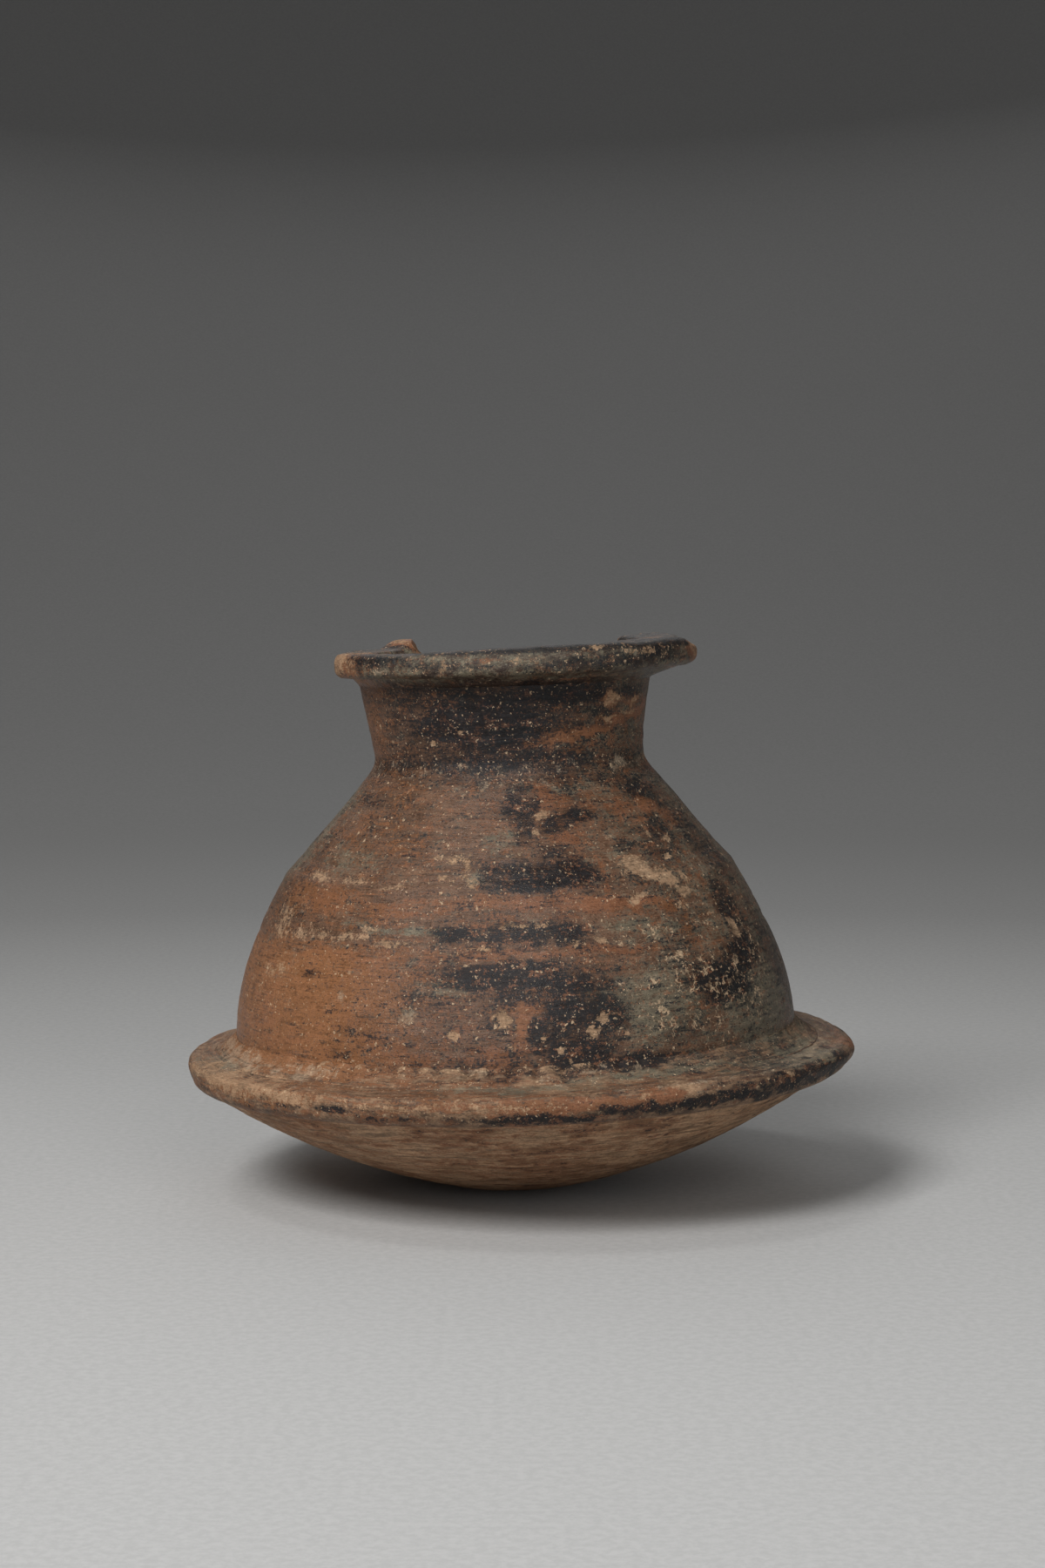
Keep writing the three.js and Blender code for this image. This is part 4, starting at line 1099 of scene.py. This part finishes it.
def build_broken_lip(sizes, colours):
    """Out-turned lip: its sections carried round from one torn end to the other. Near the ends the azimuths
    are stretched so that the last section lies in the break, and rings of smaller sections close each end.
    A lump stands on it by the left break, and its edge is chipped on the right."""
    base = np.radians(np.linspace(*LIP_SPAN, LIP_STEPS))[:, None]
    plain_from, plain_to = np.radians(LIP_PLAIN_SPAN)
    r, h = lip_sections(base)
    az = np.broadcast_to(base, r.shape)
    right, left = torn_end(r, h, BREAK_RIGHT, 1), torn_end(r, h, BREAK_LEFT, -1)
    to_right, to_left = ramp(az, plain_to, base[-1, 0]), ramp(az, plain_from, base[0, 0])
    az = az + to_right * (right - base[-1, 0]) + to_left * (left - base[0, 0])
    r = r + ramp(r, MOUTH_R + 3, lip_edge(base)) * (lip_edge(az) - lip_edge(base))
    deg = np.degrees(az)
    tilt = math.tan(math.radians(RIM_TILT_DEG)) * (r * np.sin(az) - RIM_OFFSET_X)
    z = NECK_TOP_Z + h + tilt * ramp(h, RIM_ROOT_H, RIM_TOP_H)
    z = z + 0.8 * ridge(deg, -88, 38, 4) * ramp(r, 38, 41) * np.clip((h - RIM_TIP_H) / 3, -1, 1)
    xyz = place(r, az, z)
    lump = 2.2 * ridge(deg, -139, 8, 4) * ridge(r, 37, 5, 4)
    rise = 0.4 * ridge(deg, 114, 9, 4) * ridge(r, 38, 5, 4)
    chip = 2.0 * ridge(deg, 92, 15, 4) * ramp(r, 41, 45)
    z = z + ramp(h, RIM_TIP_H, RIM_TOP_H) * (lump + rise - chip)
    seen = np.ones(r.shape)
    seen[:, [0, -3, -2, -1]] = 0
    relief = clay_relief(xyz, sizes) * 1.3 + swells(xyz, (0.2, 7, 101), (0.12, 3, 105))
    relief = relief - 0.3 * pits(xyz, 4.6, 0.8, 0.35, 102)
    r, z = push_out(r, z, relief * seen)
    grid = close_ends(place(r, az, z))
    row = np.arange(len(grid))[:, None]
    beyond = np.maximum(END_RINGS - row, row - (len(grid) - 1 - END_RINGS))
    inside = np.zeros(grid.shape[:2])
    inside[END_RINGS:-END_RINGS, -3:] = 1
    x, y, z = np.moveaxis(grid, -1, 0)
    fields = paint(np.hypot(x, y), np.arctan2(x, -y), z, grid, inside)
    show_tear(fields, ramp(beyond, -5, 0) + 0 * inside, 0.55)
    material = fired_clay("dark_lip_slip", colours, colours.neck_dark, colours.dull_slip,
                          gloss=0.42, matt=0.8, flecks=0.34, bump=1.3, blotches=0.45)
    points = grid.shape[1]
    dress("broken_lip", material, grid, fields, (0, points - 3, points - 1), (False, True))


# Stage

SWEEP_REACH = 4.2
SWEEP_FLAT_R = 1.0
SWEEP_BEND = 1.9
SWEEP_HIGH = 2.6
# The paper's greys by distance from this spot are painted light: a pale pool round the jar that greys away
# from it.
PAINTED_LIGHT_CENTRE = (0, -0.15, 0)
PAPER_PAINTED_LIGHT_GREYS = (
    (0, 0.478), (0.3, 0.433), (0.5, 0.367), (0.75, 0.274), (1, 0.253), (1.3, 0.238), (1.6, 0.208),
    (1.9, 0.184), (2.2, 0.168), (2.8, 0.166), (3.4, 0.167),
)
LAMPS = (
    ("key", (-0.66, -1.19, 1.14), 0.05, 0.6), ("top", (-0.5, -0.26, 1.4), 0.05, 0.25),
    ("fill", (0.5, -1.55, 0.7), 0.03, 1.0), ("back", (-0.1, 1.75, 1.35), 0.05, 1.5),
)
CAMERA_AT = (0.001388, -0.746818, 0.151643)
CAMERA_DOWN_DEG = 4.134
CAMERA_LENS = 71.331
CAMERA_SENSOR = 36


def add_to_scene(name, data):
    """An object made of its data and put in the scene."""
    thing = bpy.data.objects.new(name, data)
    bpy.context.scene.collection.objects.link(thing)
    return thing


def build_sweep(settings):
    """Paper sweep: a disc that bends up all round into a low wall, radius and height as functions of one
    run."""
    a = np.radians(np.linspace(0, 90, 40))[1:]
    far = SWEEP_FLAT_R + SWEEP_BEND
    r = np.r_[np.linspace(0, SWEEP_FLAT_R, 24), SWEEP_FLAT_R + SWEEP_BEND * np.sin(a), np.full(6, far)]
    z = np.r_[np.zeros(24), SWEEP_BEND * (1 - np.cos(a)), np.linspace(SWEEP_BEND, SWEEP_HIGH, 7)[1:]]
    points = place(r, ring_grid(96), z + 0 * ring_grid(96))
    n, m = points.shape[:2]
    verts = np.concatenate([points[:1, 0], points[:, 1:].reshape(-1, 3)])
    index = 1 + np.arange(n * (m - 1)).reshape(n, m - 1)
    after = np.roll(index, -1, axis=0)
    quads = np.stack([index[:, :-1], index[:, 1:], after[:, 1:], after[:, :-1]], -1).reshape(-1, 4)
    fan = np.c_[np.zeros(n, int), index[:, 0], after[:, 0]]
    mesh = bpy.data.meshes.new("paper_sweep")
    mesh.from_pydata(verts.tolist(), [], quads.tolist() + fan.tolist())
    mesh.polygons.foreach_set("use_smooth", np.ones(len(mesh.polygons), bool))
    mesh.materials.append(studio_paper("studio_paper", settings.paper, PAPER_PAINTED_LIGHT_GREYS))
    add_to_scene("paper_sweep", mesh)


def add_lamp(name, place_at, aim_height, size, power):
    """Soft square lamp aimed at a point over the middle of the floor."""
    data = bpy.data.lights.new(name, "AREA")
    data.shape = "SQUARE"
    data.size = size
    data.energy = power
    lamp = add_to_scene(name, data)
    lamp.location = place_at
    aim = Vector((0, 0, aim_height)) - Vector(place_at)
    lamp.rotation_euler = aim.to_track_quat("-Z", "Y").to_euler()
    lamp.visible_camera = False


def build_studio(settings):
    """Paper sweep, lamps, ambient light and camera."""
    scene = bpy.context.scene
    build_sweep(settings)
    for name, place_at, aim_height, size in LAMPS:
        add_lamp(f"{name}_lamp", place_at, aim_height, size, getattr(settings, f"{name}_power"))
    scene.world = bpy.data.worlds.new("studio_air")
    scene.world.use_nodes = True
    back = scene.world.node_tree.nodes["Background"]
    back.inputs[0].default_value = (1, 1, 1, 1)
    back.inputs[1].default_value = settings.ambient
    scene.view_settings.view_transform = "Standard"
    data = bpy.data.cameras.new("photo_camera")
    data.sensor_width = CAMERA_SENSOR
    data.lens = CAMERA_LENS
    data.clip_start = 0.01
    scene.camera = add_to_scene("photo_camera", data)
    scene.camera.location = CAMERA_AT
    scene.camera.rotation_euler = (math.radians(90 - CAMERA_DOWN_DEG), 0, 0)


# Operators and panel

class JarOperator:
    """What the jar's operators share."""

    bl_options = {"REGISTER", "UNDO"}

    def build(self, context, *builders):
        for builder in builders:
            builder(context.scene.jar_sizes, context.scene.jar_colours)
        return {"FINISHED"}


class JAR_OT_base_saucer(JarOperator, bpy.types.Operator):
    """Build the round base"""

    bl_idname = "jar.base_saucer"
    bl_label = "Round base"

    def execute(self, context):
        return self.build(context, build_base_saucer)


class JAR_OT_ledge_ring(JarOperator, bpy.types.Operator):
    """Build the projecting ledge"""

    bl_idname = "jar.ledge_ring"
    bl_label = "Ledge"

    def execute(self, context):
        return self.build(context, build_ledge_ring)


class JAR_OT_luting(JarOperator, bpy.types.Operator):
    """Build the outer luting strip and the inner luting coil"""

    bl_idname = "jar.luting"
    bl_label = "Luting clay"

    def execute(self, context):
        return self.build(context, build_luting_strip, build_luting_coil)


class JAR_OT_wall(JarOperator, bpy.types.Operator):
    """Build the lower wall, the belt, the shoulder and the neck"""

    bl_idname = "jar.wall"
    bl_label = "Wall courses"

    def execute(self, context):
        return self.build(context, build_wall)


class JAR_OT_broken_lip(JarOperator, bpy.types.Operator):
    """Build the broken, out-turned lip"""

    bl_idname = "jar.broken_lip"
    bl_label = "Broken lip"

    def execute(self, context):
        return self.build(context, build_broken_lip)


class JAR_OT_studio(JarOperator, bpy.types.Operator):
    """Build the paper sweep, the lamps and the camera"""

    bl_idname = "jar.studio"
    bl_label = "Studio"

    def execute(self, context):
        build_studio(context.scene.jar_studio)
        return {"FINISHED"}


OPERATORS = (
    JAR_OT_studio, JAR_OT_base_saucer, JAR_OT_ledge_ring, JAR_OT_luting, JAR_OT_wall, JAR_OT_broken_lip,
)


class JAR_PT_pieces(bpy.types.Panel):
    """Lists the jar's pieces and the settings of its finish"""

    bl_idname = "JAR_PT_pieces"
    bl_label = "Ledged jar"
    bl_space_type = "VIEW_3D"
    bl_region_type = "UI"
    bl_category = "Jar"

    def draw(self, context):
        for operator in OPERATORS:
            self.layout.operator(operator.bl_idname)
        for group in (context.scene.jar_sizes, context.scene.jar_colours, context.scene.jar_studio):
            box = self.layout.box()
            for key in group.__annotations__:
                box.prop(group, key)


GROUPS = (JarSizes, JarColours, StudioSettings)


def register():
    for cls in (*GROUPS, *OPERATORS, JAR_PT_pieces):
        bpy.utils.register_class(cls)
    bpy.types.Scene.jar_sizes = PointerProperty(type=JarSizes)
    bpy.types.Scene.jar_colours = PointerProperty(type=JarColours)
    bpy.types.Scene.jar_studio = PointerProperty(type=StudioSettings)


def unregister():
    del bpy.types.Scene.jar_studio, bpy.types.Scene.jar_colours, bpy.types.Scene.jar_sizes
    for cls in reversed((*GROUPS, *OPERATORS, JAR_PT_pieces)):
        bpy.utils.unregister_class(cls)


def main():
    """Builds everything in order."""
    register()
    bpy.ops.jar.studio()
    bpy.ops.jar.base_saucer()
    bpy.ops.jar.ledge_ring()
    bpy.ops.jar.luting()
    bpy.ops.jar.wall()
    bpy.ops.jar.broken_lip()


if __name__ == "__main__":
    main()
